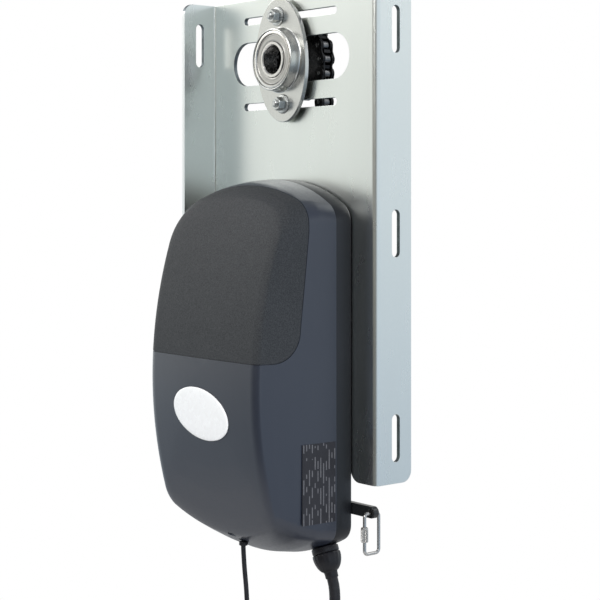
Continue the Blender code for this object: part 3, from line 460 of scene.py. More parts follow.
def label_look():
    """A black foil label, whose print is stood for by plain grey bars of uneven length."""
    made = Look("label_black", 0.34)
    foil = made.drift(made.noise(70.0), (0.010, 0.009, 0.012), (0.014, 0.013, 0.017))
    print_grey = made.drift(made.noise(300.0), (0.09, 0.09, 0.10), (0.13, 0.13, 0.14))
    made.colour(made.mix("MIX", made.print_rows(0.0030, 0.0010), foil, print_grey))
    made.rough(made.between(made.noise(500.0), 0.30, 0.42))
    return made.made


def cable_look():
    """Cable sheath: dull PVC with faint lengthwise drawing marks and a little dust."""
    made = Look("cable_black", 0.5)
    dust = made.noise(140.0, detail=5.0)
    made.colour(made.drift(dust, (0.008, 0.008, 0.010), (0.018, 0.018, 0.021), 0.3, 0.75))
    made.rough(made.between(made.noise(300.0), 0.36, 0.50))
    made.bump(made.noise(700.0, detail=2.0), 0.03, 0.6)
    made.set(Specular_IOR_Level=0.3)
    return made.made


def winding_look():
    """Lacquered copper wire in close turns."""
    made = Look("winding_copper", 0.35, 0.9)
    made.colour(made.drift(made.noise(300.0, (1.0, 1.0, 4.0)), (0.36, 0.15, 0.06), (0.62, 0.30, 0.13)))
    made.rough(made.between(made.noise(420.0), 0.28, 0.45))
    made.bump(made.noise(600.0, (0.2, 0.2, 4.0), 1.0), 0.15, 0.8)
    return made.made


def make_looks():
    zinc = {  # colour, roughness, depth of the streaks
        "zinc_plate": ((0.78, 0.81, 0.775), 0.28),
        # A lighter zinc for the bracket's outside cut edges: a painted highlight.
        "cut_edge_highlight": ((0.86, 0.88, 0.88), 0.34, 0.2),
        "pressed_plate": ((0.66, 0.66, 0.63), 0.25, 0.12),
    }
    turned = {  # colour, roughness, depth of the mottling
        # A dark steel for the walls of the bracket's openings: painted shade.
        "slot_wall_shade": ((0.20, 0.23, 0.24), 0.45, 0.4),
        "bolt_zinc": ((0.60, 0.615, 0.60), 0.30),
        "ground_steel": ((0.74, 0.72, 0.68), 0.24),
        "dark_shield": ((0.50, 0.49, 0.46), 0.40),
        "bright_steel": ((0.56, 0.55, 0.53), 0.24),
        "roller_steel": ((0.20, 0.20, 0.20), 0.28, 0.5),
        "cast_alloy": ((0.50, 0.51, 0.52), 0.52, 0.2),
        "bronze_wheel": ((0.60, 0.42, 0.16), 0.34),
    }
    plain = {  # darker colour, lighter colour, roughness, gloss
        "base_plastic": ((0.007, 0.008, 0.010), (0.011, 0.012, 0.015), 0.36, 0.42),
        "black_plastic": ((0.006, 0.006, 0.008), (0.011, 0.011, 0.014), 0.32, 0.32),
        "black_rubber": ((0.006, 0.006, 0.008), (0.010, 0.010, 0.012), 0.36, 0.32),
    }
    looks = {
        "oiled_black": oiled_look(),
        "anthracite_plastic": cover_look(),
        "textured_panel": panel_look(),
        "black_steel": moulded_look("black_steel", (0.011, 0.012, 0.013), (0.018, 0.020, 0.021), 0.30,
                                    grain=1100.0, height=0.03, cloudy=40.0),
        "board_green": moulded_look("board_green", (0.012, 0.10, 0.045), (0.03, 0.17, 0.08), 0.35,
                                    grain=600.0, height=0.05, cloudy=260.0),
        "badge_white": badge_look(),
        "label_black": label_look(),
        "winding_copper": winding_look(),
        "cable_black": cable_look(),
    }
    for name, how in zinc.items():
        looks[name] = zinc_look(name, *how)
    for name, how in turned.items():
        looks[name] = turned_look(name, *how)
    for name, (*how, gloss) in plain.items():
        looks[name] = moulded_look(name, *how, gloss=gloss)
    return looks


# ---------------------------------------------------------------- shapes


def put(name, bm, material, sharp=35.0):
    """Turns a millimetre bmesh into an object at the origin."""
    bmesh.ops.recalc_face_normals(bm, faces=bm.faces)
    bmesh.ops.transform(bm, matrix=Matrix.Scale(MM, 4), verts=bm.verts)
    mesh = bpy.data.meshes.new(name)
    bm.to_mesh(mesh)
    bm.free()
    mesh.shade_smooth()
    mesh.set_sharp_from_angle(angle=math.radians(sharp))
    made = bpy.data.objects.new(name, mesh)
    if material:
        mesh.materials.append(material)
    bpy.context.scene.collection.objects.link(made)
    return made


def cut(base, tool, operation="DIFFERENCE"):
    """Applies a Boolean to an object. Its tool, a bmesh or another object, is used up."""
    if isinstance(tool, bmesh.types.BMesh):
        tool = put("tool", tool, None)
    step = base.modifiers.new("cut", "BOOLEAN")
    step.operation = operation
    step.solver = "EXACT"
    step.object = tool
    bpy.context.view_layer.update()
    seen = base.evaluated_get(bpy.context.evaluated_depsgraph_get())
    mesh = bpy.data.meshes.new_from_object(seen)
    base.modifiers.clear()
    base.data = mesh
    bpy.data.objects.remove(tool, do_unlink=True)


def coat(made, material, sharp=35.0):
    """Gives a cut object one material, and smooth shading up to the angle of its sharp edges."""
    made.data.materials.clear()
    made.data.materials.append(material)
    made.data.shade_smooth()
    made.data.set_sharp_from_angle(angle=math.radians(sharp))


def combine(name, body, others, operation, material, sharp=35.0):
    base = put(name, body, None)
    for other in others:
        cut(base, other, operation)
    coat(base, material, sharp)
    return base


def even_out(made):
    """Lets the large faces lead the shading, so that flats stay flat and narrow bands look round."""
    step = made.modifiers.new("normals", "WEIGHTED_NORMAL")
    step.keep_sharp = True
    step.weight = 80
    return made


def soften(made, width, angle=32.0, segments=2, even=True):
    """Rounds the edges a little, so that they catch the light."""
    step = made.modifiers.new("edges", "BEVEL")
    step.width = width * MM
    step.segments = segments
    step.limit_method = "ANGLE"
    step.angle_limit = math.radians(angle)
    step.use_clamp_overlap = True
    return even_out(made) if even else made


def settle(made, body, slot, *nodes):
    """Says which body a piece rides on and which CAD nodes it stands for. The finish, slot, is not used."""
    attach(made, body)
    if nodes:
        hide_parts(*nodes)
    return made


def turn(points, axis):
    if axis == "X":
        return [Vector((w, u, v)) for u, v, w in points]
    if axis == "Y":
        return [Vector((u, w, v)) for u, v, w in points]
    return [Vector((u, v, w)) for u, v, w in points]


def stitch(bm, rows, closed=False):
    """Joins each ring of vertices to the next, and the last one to the first where they close up."""
    for one, two in zip(rows, rows[1:] + rows[:1] if closed else rows[1:]):
        for i in range(len(one)):
            j = (i + 1) % len(one)
            bm.faces.new((one[i], one[j], two[j], two[i]))


def prism(outline, axis, low, high, bm=None):
    """A flat outline pushed along an axis: (x, y) along Z, (x, z) along Y, (y, z) along X."""
    bm = bm or bmesh.new()
    rings = []
    for along in (low, high):
        spots = turn([(u, v, along) for u, v in outline], axis)
        rings.append([bm.verts.new(p) for p in spots])
    stitch(bm, rings)
    bm.faces.new(rings[0][::-1])
    bm.faces.new(rings[1])
    return bm


def arc(cx, cy, radius, start, end, steps):
    ways = (math.radians(start + (end - start) * i / steps) for i in range(steps + 1))
    return [(cx + radius * math.cos(a), cy + radius * math.sin(a)) for a in ways]


def circle(cx, cy, radius, sides):
    return arc(cx, cy, radius, 0, 360 * (sides - 1) / sides, sides - 1)


def rounded(cx, cy, wide, high, radius, steps):
    u, v = wide / 2 - radius, high / 2 - radius
    spots = []
    for sx, sy, start in ((1, 1, 0), (-1, 1, 90), (-1, -1, 180), (1, -1, 270)):
        spots += arc(cx + sx * u, cy + sy * v, radius, start, start + 90, steps)
    return spots


def slot_outline(cx, cy, wide, high, steps):
    radius = min(wide, high) / 2
    if wide > high:
        right = arc(cx + wide / 2 - radius, cy, radius, -90, 90, steps)
        return right + arc(cx - wide / 2 + radius, cy, radius, 90, 270, steps)
    top = arc(cx, cy + high / 2 - radius, radius, 0, 180, steps)
    return top + arc(cx, cy - high / 2 + radius, radius, 180, 360, steps)


def lathe(profile, centre, axis, sides, bm=None, ribs=0, rib_deep=0.0):
    """Turns (radius, along) points round an axis. A profile that starts and ends at radius 0 is solid,
    and any other is a closed ring. Ribs wave its radius in and out, but not at (radius, along, 1)."""
    bm = bm or bmesh.new()
    solid = profile[0][0] == 0 and profile[-1][0] == 0
    ring_points = profile[1:-1] if solid else profile
    rings = []
    for radius, along, *plain in ring_points:
        spots = []
        for i in range(sides):
            a = 2 * math.pi * i / sides
            r = radius - (0.0 if plain or not ribs else rib_deep * (0.5 + 0.5 * math.cos(ribs * a)))
            spots.append((r * math.cos(a), r * math.sin(a), along))
        rings.append([bm.verts.new(p + Vector(centre)) for p in turn(spots, axis)])
    stitch(bm, rings, closed=not solid)
    if solid:
        bm.faces.new(rings[0][::-1])
        bm.faces.new(rings[-1])
    return bm


def rod(centre, axis, radius, low, high, sides):
    return lathe([(0, low), (radius, low), (radius, high), (0, high)], centre, axis, sides)


def ring(centre, axis, inner, outer, low, high):
    """A turned ring with its edges broken."""
    edge = 0.25
    profile = [
        (inner + edge, low), (outer - edge, low), (outer, low + edge), (outer, high - edge),
        (outer - edge, high), (inner + edge, high), (inner, high - edge), (inner, low + edge),
    ]
    return lathe(profile, centre, axis, 48)


def smooth_line(route, step):
    """Evenly spaced points on a Catmull-Rom curve through the route."""
    spots = [Vector(p) for p in route]
    spots = [2 * spots[0] - spots[1], *spots, 2 * spots[-1] - spots[-2]]
    dense = []
    for a, b, c, d in zip(spots, spots[1:], spots[2:], spots[3:]):
        for i in range(24):
            t = i / 24
            dense.append(0.5 * (2 * b + (c - a) * t + (2 * a - 5 * b + 4 * c - d) * t * t
                                + (3 * b - a - 3 * c + d) * t ** 3))
    dense.append(spots[-2])
    along = [0.0]
    for a, b in zip(dense, dense[1:]):
        along.append(along[-1] + (b - a).length)
    count = max(2, round(along[-1] / step))
    even = []
    j = 0
    for i in range(count + 1):
        goal = along[-1] * i / count
        while j < len(dense) - 2 and along[j + 1] < goal:
            j += 1
        share = (goal - along[j]) / (along[j + 1] - along[j])
        even.append(dense[j].lerp(dense[j + 1], share))
    return even


def tube(name, spots, radius, material, resolution=6):
    """A round bar or cable along a line of points, as a curve of one open spline."""
    data = bpy.data.curves.new(name, "CURVE")
    data.dimensions = "3D"
    data.bevel_depth = radius * MM
    data.bevel_resolution = resolution
    data.use_fill_caps = True
    spline = data.splines.new("POLY")
    spline.points.add(len(spots) - 1)
    for point, spot in zip(spline.points, spots):
        point.co = (*(Vector(spot) * MM), 1.0)
    spline.use_smooth = True
    made = bpy.data.objects.new(name, data)
    data.materials.append(material)
    bpy.context.scene.collection.objects.link(made)
    return made


# ---------------------------------------------------------------- cables


def gland_place():
    """The gland's frame: its origin just under the curved underside, its Z square to it, pointing up."""
    lean = math.asin(GLAND_X / LOW_ARCH)
    reach = LOW_ARCH + GAP
    middle = HOUSE_LOW + LOW_ARCH
    spot = Vector((reach * math.sin(lean), GLAND_Y, middle - reach * math.cos(lean)))
    return Matrix.Translation(spot) @ Matrix.Rotation(-lean, 4, "Y")


def coil_line():
    """The wound part: nearly four turns, each in its own corner of a square bundle. The lead moves on
    to the next corner in the same short stretch of each turn, so that it never runs through itself."""
    lay = CABLE_R * math.sqrt(2)
    first_shift = COIL_START + 360 - SHIFT_FROM
    spots = []
    for turned in range(0, COIL_TURN + 1, COIL_STEP):
        corner = 45.0
        if turned >= first_shift:
            moves, since = divmod(turned - first_shift, 360)
            share = min(1.0, since / (SHIFT_FROM - SHIFT_TO))
            corner += 90.0 * (moves + share * share * (3.0 - 2.0 * share))
        a, c = math.radians(COIL_START - turned), math.radians(corner)
        radius = COIL_R + lay * math.cos(c)
        spots.append(COIL_CENTRE + Vector((radius * math.cos(a), lay * math.sin(c), radius * math.sin(a))))
    return spots


def power_line():
    inside = gland_place() @ Vector((0, 0, -RELIEF_END + 4.0))
    wound = coil_line()
    lead_in = smooth_line([inside, *POWER_ROUTE, LEAD_IN, wound[0]], 5.0)
    lead_out = smooth_line([wound[-1], *TAIL_ROUTE], 5.0)
    return lead_in[:-1] + wound + lead_out[1:]


def make_plug(looks):
    """A round two-pin plug with a ribbed neck and moulded finger grips."""
    start = Vector(TAIL_ROUTE[-1]) - Vector((0, 0, GAP))
    neck = [(0, 0.1), (6.2, 0.1), (6.9, -0.6)]
    for i in range(3):
        z, rib, groove = -1.6 - 2.6 * i, 7.4 + 0.6 * i, 6.6 + 0.6 * i
        neck += [(rib, z), (rib, z - 1.3), (groove, z - 1.6), (groove, z - 2.3)]
    neck += [(9.2, -9.6), (11.2, -12.0), (15.6, -16.2), (17.6, -19.0), (18.3, -21.0), (18.3, -32.4),
             (17.7, -33.6), (16.6, -34.0), (12.0, -34.0), (11.6, -33.5), (0, -33.5)]
    body = lathe(neck, start, "Z", 96, ribs=24, rib_deep=0.35)
    made = put("plug_body", body, looks["black_plastic"], 40.0)
    pins = bmesh.new()
    profile = [(0, -30.0), (2.4, -30.0), (2.4, -51.0), (2.1, -52.2), (1.3, -52.9), (0, -52.9)]
    for side in (-9.5, 9.5):
        lathe(profile, start + Vector((side, 0, 0)), "Z", 32, pins)
    pin = put("plug_pins", pins, looks["bright_steel"])
    return made, pin


def make_tie(looks):
    """A flat strap round the bundle's left side, drawn tight through its ratchet head."""
    x, y, z = COIL_CENTRE + Vector((-COIL_R, 0, 0))
    inner = 4 * CABLE_R + 0.5
    outer = inner + 2.2
    strap = prism(rounded(x, y, outer, outer, 5.6, 8), "Z", z - 2.4, z + 2.4)
    hole = prism(rounded(x, y, inner, inner, 4.6, 8), "Z", z - 9, z + 9)
    head = prism(rounded(x + 2.0, y - outer / 2 - 0.1, 7.2, 2.8, 0.9, 4), "Z", z - 3.8, z + 3.8)
    tail = prism(rounded(x - 4.4, y - outer / 2 - 0.9, 7.4, 1.0, 0.45, 3), "Z", z - 2.2, z + 2.2)
    made = combine("cable_strap", strap, [head, tail], "UNION", looks["black_plastic"])
    cut(made, hole)
    coat(made, looks["black_plastic"])
    return soften(made, 0.25)


def make_cables(looks):
    line = power_line()
    lead = tube("power_lead", line, CABLE_R, looks["cable_black"], 7)
    plug, pins = make_plug(looks)
    strap = make_tie(looks)
    settle(lead, "root", "cable_black", "power_cable", "power_coil", "power_tail")
    settle(plug, "root", "black_plastic", "power_plug")
    settle(pins, "root", "ground_steel")
    settle(strap, "root", "black_plastic", "cable_tie")

    start = Vector(AERIAL_ROUTE[0])
    wire = smooth_line([start + Vector((-0.4, 0, 7.4)), *AERIAL_ROUTE], 4.0)
    aerial = tube("aerial_wire", wire, AERIAL_R, looks["cable_black"], 5)
    settle(aerial, "root", "cable_black", "aerial_lead")
    collar = lathe([(2.2, 9.0), (3.7, 9.0), (3.9, 8.6), (3.9, 6.6), (3.6, 6.0), (2.2, 6.0)], start, "Z", 40)
    settle(put("aerial_collar", collar, looks["black_rubber"]), "root", "black_rubber", "aerial_grommet")


def make_gland(looks):
    """The gland's flanged collar, and its domed nut that tapers down to the cable."""
    place = gland_place()
    collar = lathe([(0, 15.5), (4.6, 15.5), (4.6, 0.0), (10.9, 0.0), (11.7, -0.6), (11.8, -1.4),
                    (11.8, -4.6), (11.4, -5.3), (0, -5.3)], (0, 0, 0), "Z", 96)
    top = -COLLAR_LONG - GAP
    dome = lathe([(5.4, top, 1), (11.7, top, 1), (12.3, top - 0.6), (12.4, top - 1.5), (12.3, top - 4.0),
                  (11.9, top - 6.4), (11.3, top - 8.4), (10.3, top - 10.8, 1), (9.1, top - 12.8, 1),
                  (7.6, top - 14.6, 1), (6.5, top - 15.3, 1), (5.9, top - 15.9, 1), (5.7, top - 17.0, 1),
                  (5.6, -RELIEF_END + 0.5, 1), (5.2, -RELIEF_END, 1), (4.85, -RELIEF_END + 0.3, 1),
                  (4.85, -RELIEF_END + 6.0, 1)],
                 (0, 0, 0), "Z", 96, ribs=16, rib_deep=0.3)
    for name, piece, slot, node in (("gland_collar", collar, "black_plastic", "cable_gland"),
                                    ("gland_dome", dome, "black_rubber", "strain_relief")):
        bmesh.ops.transform(piece, matrix=place, verts=piece.verts)
        settle(put(name, piece, looks[slot], 40.0), "root", slot, node)


# ---------------------------------------------------------------- bracket


def mount_spots():
    return [(x, z) for x in (-66.0, 62.0) for z in (16.0, -140.0)]


def drill(bm, low, high):
    """Adds the round holes for the output shaft and the four mount bolts."""
    prism(circle(DRIVE_X, OUTPUT_Z, OUTPUT_HOLE, 40), "Y", low, high, bm)
    for x, z in mount_spots():
        prism(circle(x, z, MOUNT_HOLE, 20), "Y", low, high, bm)


def bracket_openings():
    openings = prism(slot_outline(0, BEARING_Z, *WEB_HOLE, 24), "Y", *WEB_CUT)
    for side in (-1, 1):
        prism(slot_outline(0, BEARING_Z + side * BOLT_RISE, *WEB_SLOT, 10), "Y", *WEB_CUT, openings)
    drill(openings, *WEB_CUT)
    low, foot, head = -BRACKET_TOP, 11.0, 12.0
    notch = arc(NOTCH_HALF + foot, low + foot, foot, 270, 180, 10)
    notch += arc(NOTCH_HALF - head, low + NOTCH_HIGH - head, head, 0, 90, 8)
    notch += [(-u, v) for u, v in notch[::-1]]
    notch = [(NOTCH_HALF + foot, low - 5)] + notch + [(-NOTCH_HALF - foot, low - 5)]
    prism(notch, "Y", *WEB_CUT, openings)
    return openings


def flange_openings():
    b = BRACKET_HALF
    fixings = bmesh.new()
    for level in (-1, 0, 1):
        z = level * FLANGE_SLOT_PITCH
        prism(slot_outline(LEFT_SLOT_Y, z, *FLANGE_SLOT, 12), "X", -b - 5, -b + 9, fixings)
        prism(slot_outline(RIGHT_SLOT_Y, z, *FLANGE_SLOT, 12), "X", b - 9, b + 5, fixings)
    corner = FLANGE_CORNER
    for edge, side, facing in ((FLANGE_FRONT, -1, 1), (FLANGE_REAR, 1, -1)):
        for end in (-1, 1):
            tip = end * BRACKET_TOP
            cy = edge + facing * corner
            cz = tip - end * corner
            quarter = [(edge - facing * 3, cz), (edge - facing * 3, tip + end * 3), (cy, tip + end * 3)]
            curve = [(cy - facing * corner * math.sin(a), cz + end * corner * math.cos(a))
                     for a in (math.pi / 2 * i / 10 for i in range(11))]
            prism(quarter + curve, "X", side * b - 9, side * b + 9, fixings)
    return fixings


def bracket_profile():
    """The sheet seen from above: the left flange to the front, the web, the right flange to the rear."""
    b = BRACKET_HALF
    guard = 0.6  # a narrow flat strip beside each bend, which keeps its shading off the flats
    inner, outer = SHEET + BEND_IN, BEND_OUT
    profile = [(-b, FLANGE_FRONT), (-b + SHEET, FLANGE_FRONT), (-b + SHEET, -BEND_IN - guard)]
    profile += arc(-b + inner, -BEND_IN, BEND_IN, 180, 90, 6)
    profile += [(-b + inner + guard, 0.0), (b - outer - guard, 0.0)]
    profile += arc(b - outer, outer, outer, -90, 0, 12) + [(b, outer + guard)]
    profile += [(b, FLANGE_REAR), (b - SHEET, FLANGE_REAR), (b - SHEET, inner + guard)]
    profile += arc(b - inner, inner, BEND_IN, 0, -90, 6) + [(b - inner - guard, SHEET)]
    profile += [(-b + outer + guard, SHEET)]
    profile += arc(-b + outer, SHEET - outer, outer, 90, 180, 12) + [(-b, SHEET - outer - guard)]
    return profile


def make_bracket(looks):
    """The bent sheet. Its outside cut edges take a lighter zinc as a painted highlight, and the walls of its
    openings a dark steel as painted shade.
    """
    body = prism(bracket_profile(), "Z", -BRACKET_TOP, BRACKET_TOP)
    tools = [bracket_openings(), flange_openings()]
    made = combine("bracket_sheet", body, tools, "DIFFERENCE", looks["zinc_plate"], 30.0)
    made.data.materials.append(looks["cut_edge_highlight"])
    made.data.materials.append(looks["slot_wall_shade"])
    least, most = (SHEET - 0.5) * MM, (SHEET + 0.6) * MM
    flange_x = (BRACKET_HALF - SHEET - 0.5) * MM
    end_z, front_y, rear_y = (BRACKET_TOP - 0.1) * MM, (FLANGE_FRONT + 0.3) * MM, (FLANGE_REAR - 0.3) * MM
    for face in made.data.polygons:
        spots = [made.data.vertices[i].co for i in face.vertices]
        low, high = ([pick(p[k] for p in spots) for k in range(3)] for pick in (min, max))
        wide, deep = high[0] - low[0], high[1] - low[1]
        on_flange = min(abs(p.x) for p in spots) > flange_x
        across_web = least < deep < most and abs(face.normal.y) < 0.1
        across_flange = on_flange and least < wide < most and abs(face.normal.x) < 0.1
        within = max(abs(low[2]), abs(high[2])) < end_z
        opening = within and (across_web or high[1] < rear_y and low[1] > front_y)
        # Outside cut edges take the painted highlight, and the walls of the openings the painted shade.
        if across_web or across_flange or abs(face.normal.z) > 0.9:
            face.material_index = 2 if opening else 1
        face.use_smooth = max(abs(v) for v in face.normal) < 0.9999
    soften(made, 0.35, 40.0, even=False)
    settle(made, "root", "zinc_plate", "bracket")


# ---------------------------------------------------------------- bearing and fasteners


def bolt_spots():
    lean = math.radians(OVAL_TURN)
    rise, shift = BOLT_RISE * math.cos(lean), BOLT_RISE * math.sin(lean)
    return [(DRIVE_X - side * shift, BEARING_Z + side * rise) for side in (1, -1)]


def make_flange_plate(looks):
    """The oval plate and the cup pressed out of it, as one skin of rings."""
    low, high = PLATE_BACK - PLATE_THICK, PLATE_BACK
    lean = math.radians(OVAL_TURN)
    rim = []
    for u, v in circle(0, 0, 1.0, 144):
        u, v = u * OVAL[0], v * OVAL[1]
        rim.append((u * math.cos(lean) - v * math.sin(lean), u * math.sin(lean) + v * math.cos(lean)))
    inner = BEARING_OD / 2 + 0.1
    front = BEARING_FACE - 0.5
    foot = [(CUP_R + 0.3 + 1.7 * (1 - math.cos(a)), low - 1.9 + 1.9 * math.sin(a))
            for a in (math.pi / 2 * i / 6 for i in range(6, -1, -1))]
    cup = foot + [(CUP_R + 0.25, low - 4.0), (CUP_R, front + 1.1), (CUP_R - 0.25, front + 0.35)]
    cup += [(CUP_R - 0.9, front), (inner + 0.6, front), (inner + 0.25, front + 0.1), (inner, front + 0.5)]
    cup += [(inner, high)]
    bm = bmesh.new()
    rows = []
    for y, inset in ((high, 0.35), (high - 0.35, 0.0), (low + 0.6, 0.0), (low + 0.15, 0.25), (low, 0.7)):
        shrink = [1.0 - inset / math.hypot(u, v) for u, v in rim]
        rows.append([bm.verts.new((DRIVE_X + u * k, y, BEARING_Z + v * k))
                     for (u, v), k in zip(rim, shrink)])
    ways = [math.atan2(v, u) for u, v in rim]
    for radius, y in cup:
        rows.append([bm.verts.new((DRIVE_X + radius * math.cos(a), y, BEARING_Z + radius * math.sin(a)))
                     for a in ways])
    stitch(bm, rows, closed=True)
    base = put("flange_pressing", bm, looks["pressed_plate"], 32.0)
    settle(even_out(base), "root", "zinc_plate", "flange_plate")


def make_bearing(looks):
    centre = (DRIVE_X, 0, BEARING_Z)
    front, back = BEARING_FACE, BEARING_FACE + BEARING_WIDE
    middle = (front + back) / 2
    race = [(22.9, front + 0.5), (23.3, front), (25.3, front), (25.8, front + 0.25), (26.0, front + 0.7),
            (26.0, back - 0.7), (25.3, back), (22.6, back), (22.6, middle + 3.4), (23.4, middle),
            (22.6, middle - 3.4), (22.6, front + 1.7)]
    outer = put("bearing_race", lathe(race, centre, "Y", 96), looks["ground_steel"], 30.0)
    settle(outer, "root", "ground_steel", "bearing_outer_ring")
    sleeve = [(DOOR_BORE, front + 0.9), (DOOR_BORE + 0.9, front), (15.7, front), (16.2, front + 0.5),
              (16.2, middle - 3.4), (15.4, middle), (16.2, middle + 3.4), (16.2, back), (DOOR_BORE, back)]
    inner = put("bearing_sleeve", lathe(sleeve, centre, "Y", 96), looks["ground_steel"], 30.0)
    settle(inner, "door_drive", "ground_steel", "bearing_inner_ring")
    disc = [(16.6, front + 1.0), (17.4, front + 0.75), (18.2, front + 0.75), (18.6, front + 1.05),
            (21.2, front + 1.05), (21.7, front + 0.7), (22.4, front + 0.85), (22.4, front + 1.6),
            (16.6, front + 1.6)]
    shield = put("bearing_cover", lathe(disc, centre, "Y", 96), looks["dark_shield"], 30.0)
    settle(shield, "root", "ground_steel", "bearing_shield")


def threaded(radius, low, high, pitch, deep):
    """A bolt's thread as close rounded ridges, with a lead-in chamfer at its low end."""
    spots = [(0, low), (radius - 1.0, low), (radius - 0.25, low + 0.8)]
    z = low + 0.9
    while z + pitch < high:
        spots += [(radius, z), (radius, z + 0.2 * pitch), (radius - deep, z + 0.5 * pitch),
                  (radius - deep, z + 0.7 * pitch)]
        z += pitch
    return spots + [(radius, high)]


def hexagon(across, chamfer, low, high, spot, hole, phase):
    """A hexagonal nut or head as a prism whose corners are turned off at its low, outer end."""
    sides, flat = 48, across / 2
    full = flat / math.cos(math.pi / 6)
    steps = [(full, high), (full, low + chamfer), (flat * 1.06, low + 0.35 * chamfer), (flat * 0.97, low),
             (hole + 0.5, low), (hole, low + 0.6), (hole, high)]
    bm = bmesh.new()
    rows = []
    for limit, along in steps:
        row = []
        for i in range(sides):
            a = 2 * math.pi * i / sides + phase
            part = (a - phase) % (math.pi / 3) - math.pi / 6
            r = min(flat / math.cos(part), limit)
            row.append(bm.verts.new((spot[0] + r * math.cos(a), spot[1] + along, spot[2] + r * math.sin(a))))
        rows.append(row)
    stitch(bm, rows, closed=True)
    return bm


def make_flange_bolts(looks):
    face = PLATE_BACK - PLATE_THICK
    back = SHEET + GAP
    for number, (x, z) in enumerate(bolt_spots(), 1):
        spot = (x, 0, z)
        spacer = put(f"stand_off_{number}", ring(spot, "Y", 3.3, 7.0, PLATE_BACK + GAP, -GAP),
                     looks["bolt_zinc"])
        settle(spacer, "root", "zinc_plate", f"flange_spacer_{number}")
        shank = threaded(2.95, face - 11.0, face - 1.0, 0.9, 0.3)
        shank += [(2.95, back), (8.0, back), (8.2, back + 0.4), (8.0, back + 1.4), (5.9, back + 1.6),
                  (5.6, back + 2.2), (5.6, back + 4.8), (5.1, back + 5.2), (0, back + 5.2)]
        bolt = put(f"flange_stud_{number}", lathe(shank, spot, "Y", 48), looks["bolt_zinc"])
        settle(bolt, "root", "zinc_plate", f"flange_bolt_{number}")
        low, high = face - GAP - 1.6, face - GAP
        rim = [(3.4, high), (3.4, low), (6.6, low), (8.0, low + 0.25), (8.7, low + 0.9), (8.7, high)]
        washer = put(f"serrated_washer_{number}", lathe(rim, spot, "Y", 144, ribs=24, rib_deep=0.28),
                     looks["bolt_zinc"], 28.0)
        settle(washer, "root", "zinc_plate", f"flange_washer_{number}")
        low = face - 2 * GAP - 1.6
        nut = put(f"hex_nut_{number}", hexagon(10.7, 1.1, low - 6.0, low, spot, 3.1, 0.35),
                  looks["bolt_zinc"], 28.0)
        settle(nut, "root", "zinc_plate", f"flange_nut_{number}")


def make_mount_bolts(looks):
    head = SHEET + GAP
    for number, (x, z) in enumerate(mount_spots(), 1):
        bolt = lathe([(0, -10.5), (2.6, -10.5), (3.0, -10.0), (3.0, head), (7.0, head), (7.2, head + 0.3),
                      (7.2, head + 0.9), (6.9, head + 1.2), (5.7, head + 1.3), (5.7, head + 4.9),
                      (5.2, head + 5.4), (2.6, head + 5.4), (2.4, head + 3.4), (0, head + 3.4)],
                     (x, 0, z), "Y", 48)
        made = put(f"socket_bolt_{number}", bolt, looks["bolt_zinc"], 30.0)
        settle(made, "root", "zinc_plate", f"mount_bolt_{number}")


# ---------------------------------------------------------------- chain drive


def chain_spots():
    upper = arc(DRIVE_X, BEARING_Z, DOOR_RADIUS, 0, 180, DOOR_TEETH // 2)
    lower = arc(DRIVE_X, OUTPUT_Z, OUTPUT_RADIUS, 180, 360, OUTPUT_TEETH // 2)
    spots = list(upper)
    for turned, start, end in ((lower, upper[-1], lower[0]), ([], lower[-1], upper[0])):
        run = [Vector(start).lerp(Vector(end), i / RUN_LINKS) for i in range(1, RUN_LINKS)]
        spots += [tuple(spot) for spot in run] + turned
    return spots


def link_plate(bm, one, two, low, high):
    """A waisted side plate between two pins."""
    a, b = Vector(one), Vector(two)
    along = (b - a).normalized()
    out = Vector((-along.y, along.x))
    half = (b - a).length / 2
    middle = (a + b) / 2
    right = arc(half, 0.0, LINK_END, -110, 110, 10)
    left = [(-u, -v) for u, v in right]
    outline = []
    for u, v in right + [(0.0, LINK_WAIST)] + left + [(0.0, -LINK_WAIST)]:
        spot = middle + along * u + out * v
        outline.append((spot.x, spot.y))
    prism(outline, "Y", low, high, bm)


def make_chain(looks):
    """A closed roller chain: inner and outer plates in turn, with rollers and riveted pins."""
    spots = chain_spots()
    plates, rollers = bmesh.new(), bmesh.new()
    count = len(spots)
    for i in range(count):
        one, two = spots[i], spots[(i + 1) % count]
        start = INNER_LINK if i % 2 else OUTER_LINK
        for low, high in ((-start - LINK_THICK, -start), (start, start + LINK_THICK)):
            link_plate(plates, one, two, CHAIN_Y + low, CHAIN_Y + high)
    roller = [(0, -3.8), (3.5, -3.8), (4.0, -3.4), (4.0, 3.4), (3.5, 3.8), (0, 3.8)]
    pin = [(0, -7.4), (1.3, -7.4), (1.85, -7.1), (1.85, 7.1), (1.3, 7.4), (0, 7.4)]
    for x, z in spots:
        lathe(roller, (x, CHAIN_Y, z), "Y", 24, rollers)
        lathe(pin, (x, CHAIN_Y, z), "Y", 16, rollers)
    made = put("roller_chain_plates", plates, looks["oiled_black"])
    soften(made, 0.15, 40.0, 1)
    settle(made, "root", "oiled_black", "drive_chain")
    pins = put("roller_chain_pins", rollers, looks["roller_steel"])
    settle(pins, "root", "oiled_black")


def tooth_outline(teeth, pitch_radius, tip_radius, cx, cz):
    seat = 4.45
    rise = tip_radius - pitch_radius
    gap = [(5.6, rise), (5.15, rise * 0.55), (4.6, 0.35)]
    gap += [(seat * math.cos(a), -seat * math.sin(a)) for a in (math.pi * i / 10 for i in range(11))]
    gap += [(-4.6, 0.35), (-5.15, rise * 0.55), (-5.6, rise)]
    spots = []
    for i in range(teeth):
        a = 2 * math.pi * i / teeth
        for across, out in gap[::-1]:
            r = pitch_radius + out
            spots.append((cx + r * math.cos(a) - across * math.sin(a),
                          cz + r * math.sin(a) + across * math.cos(a)))
    return spots


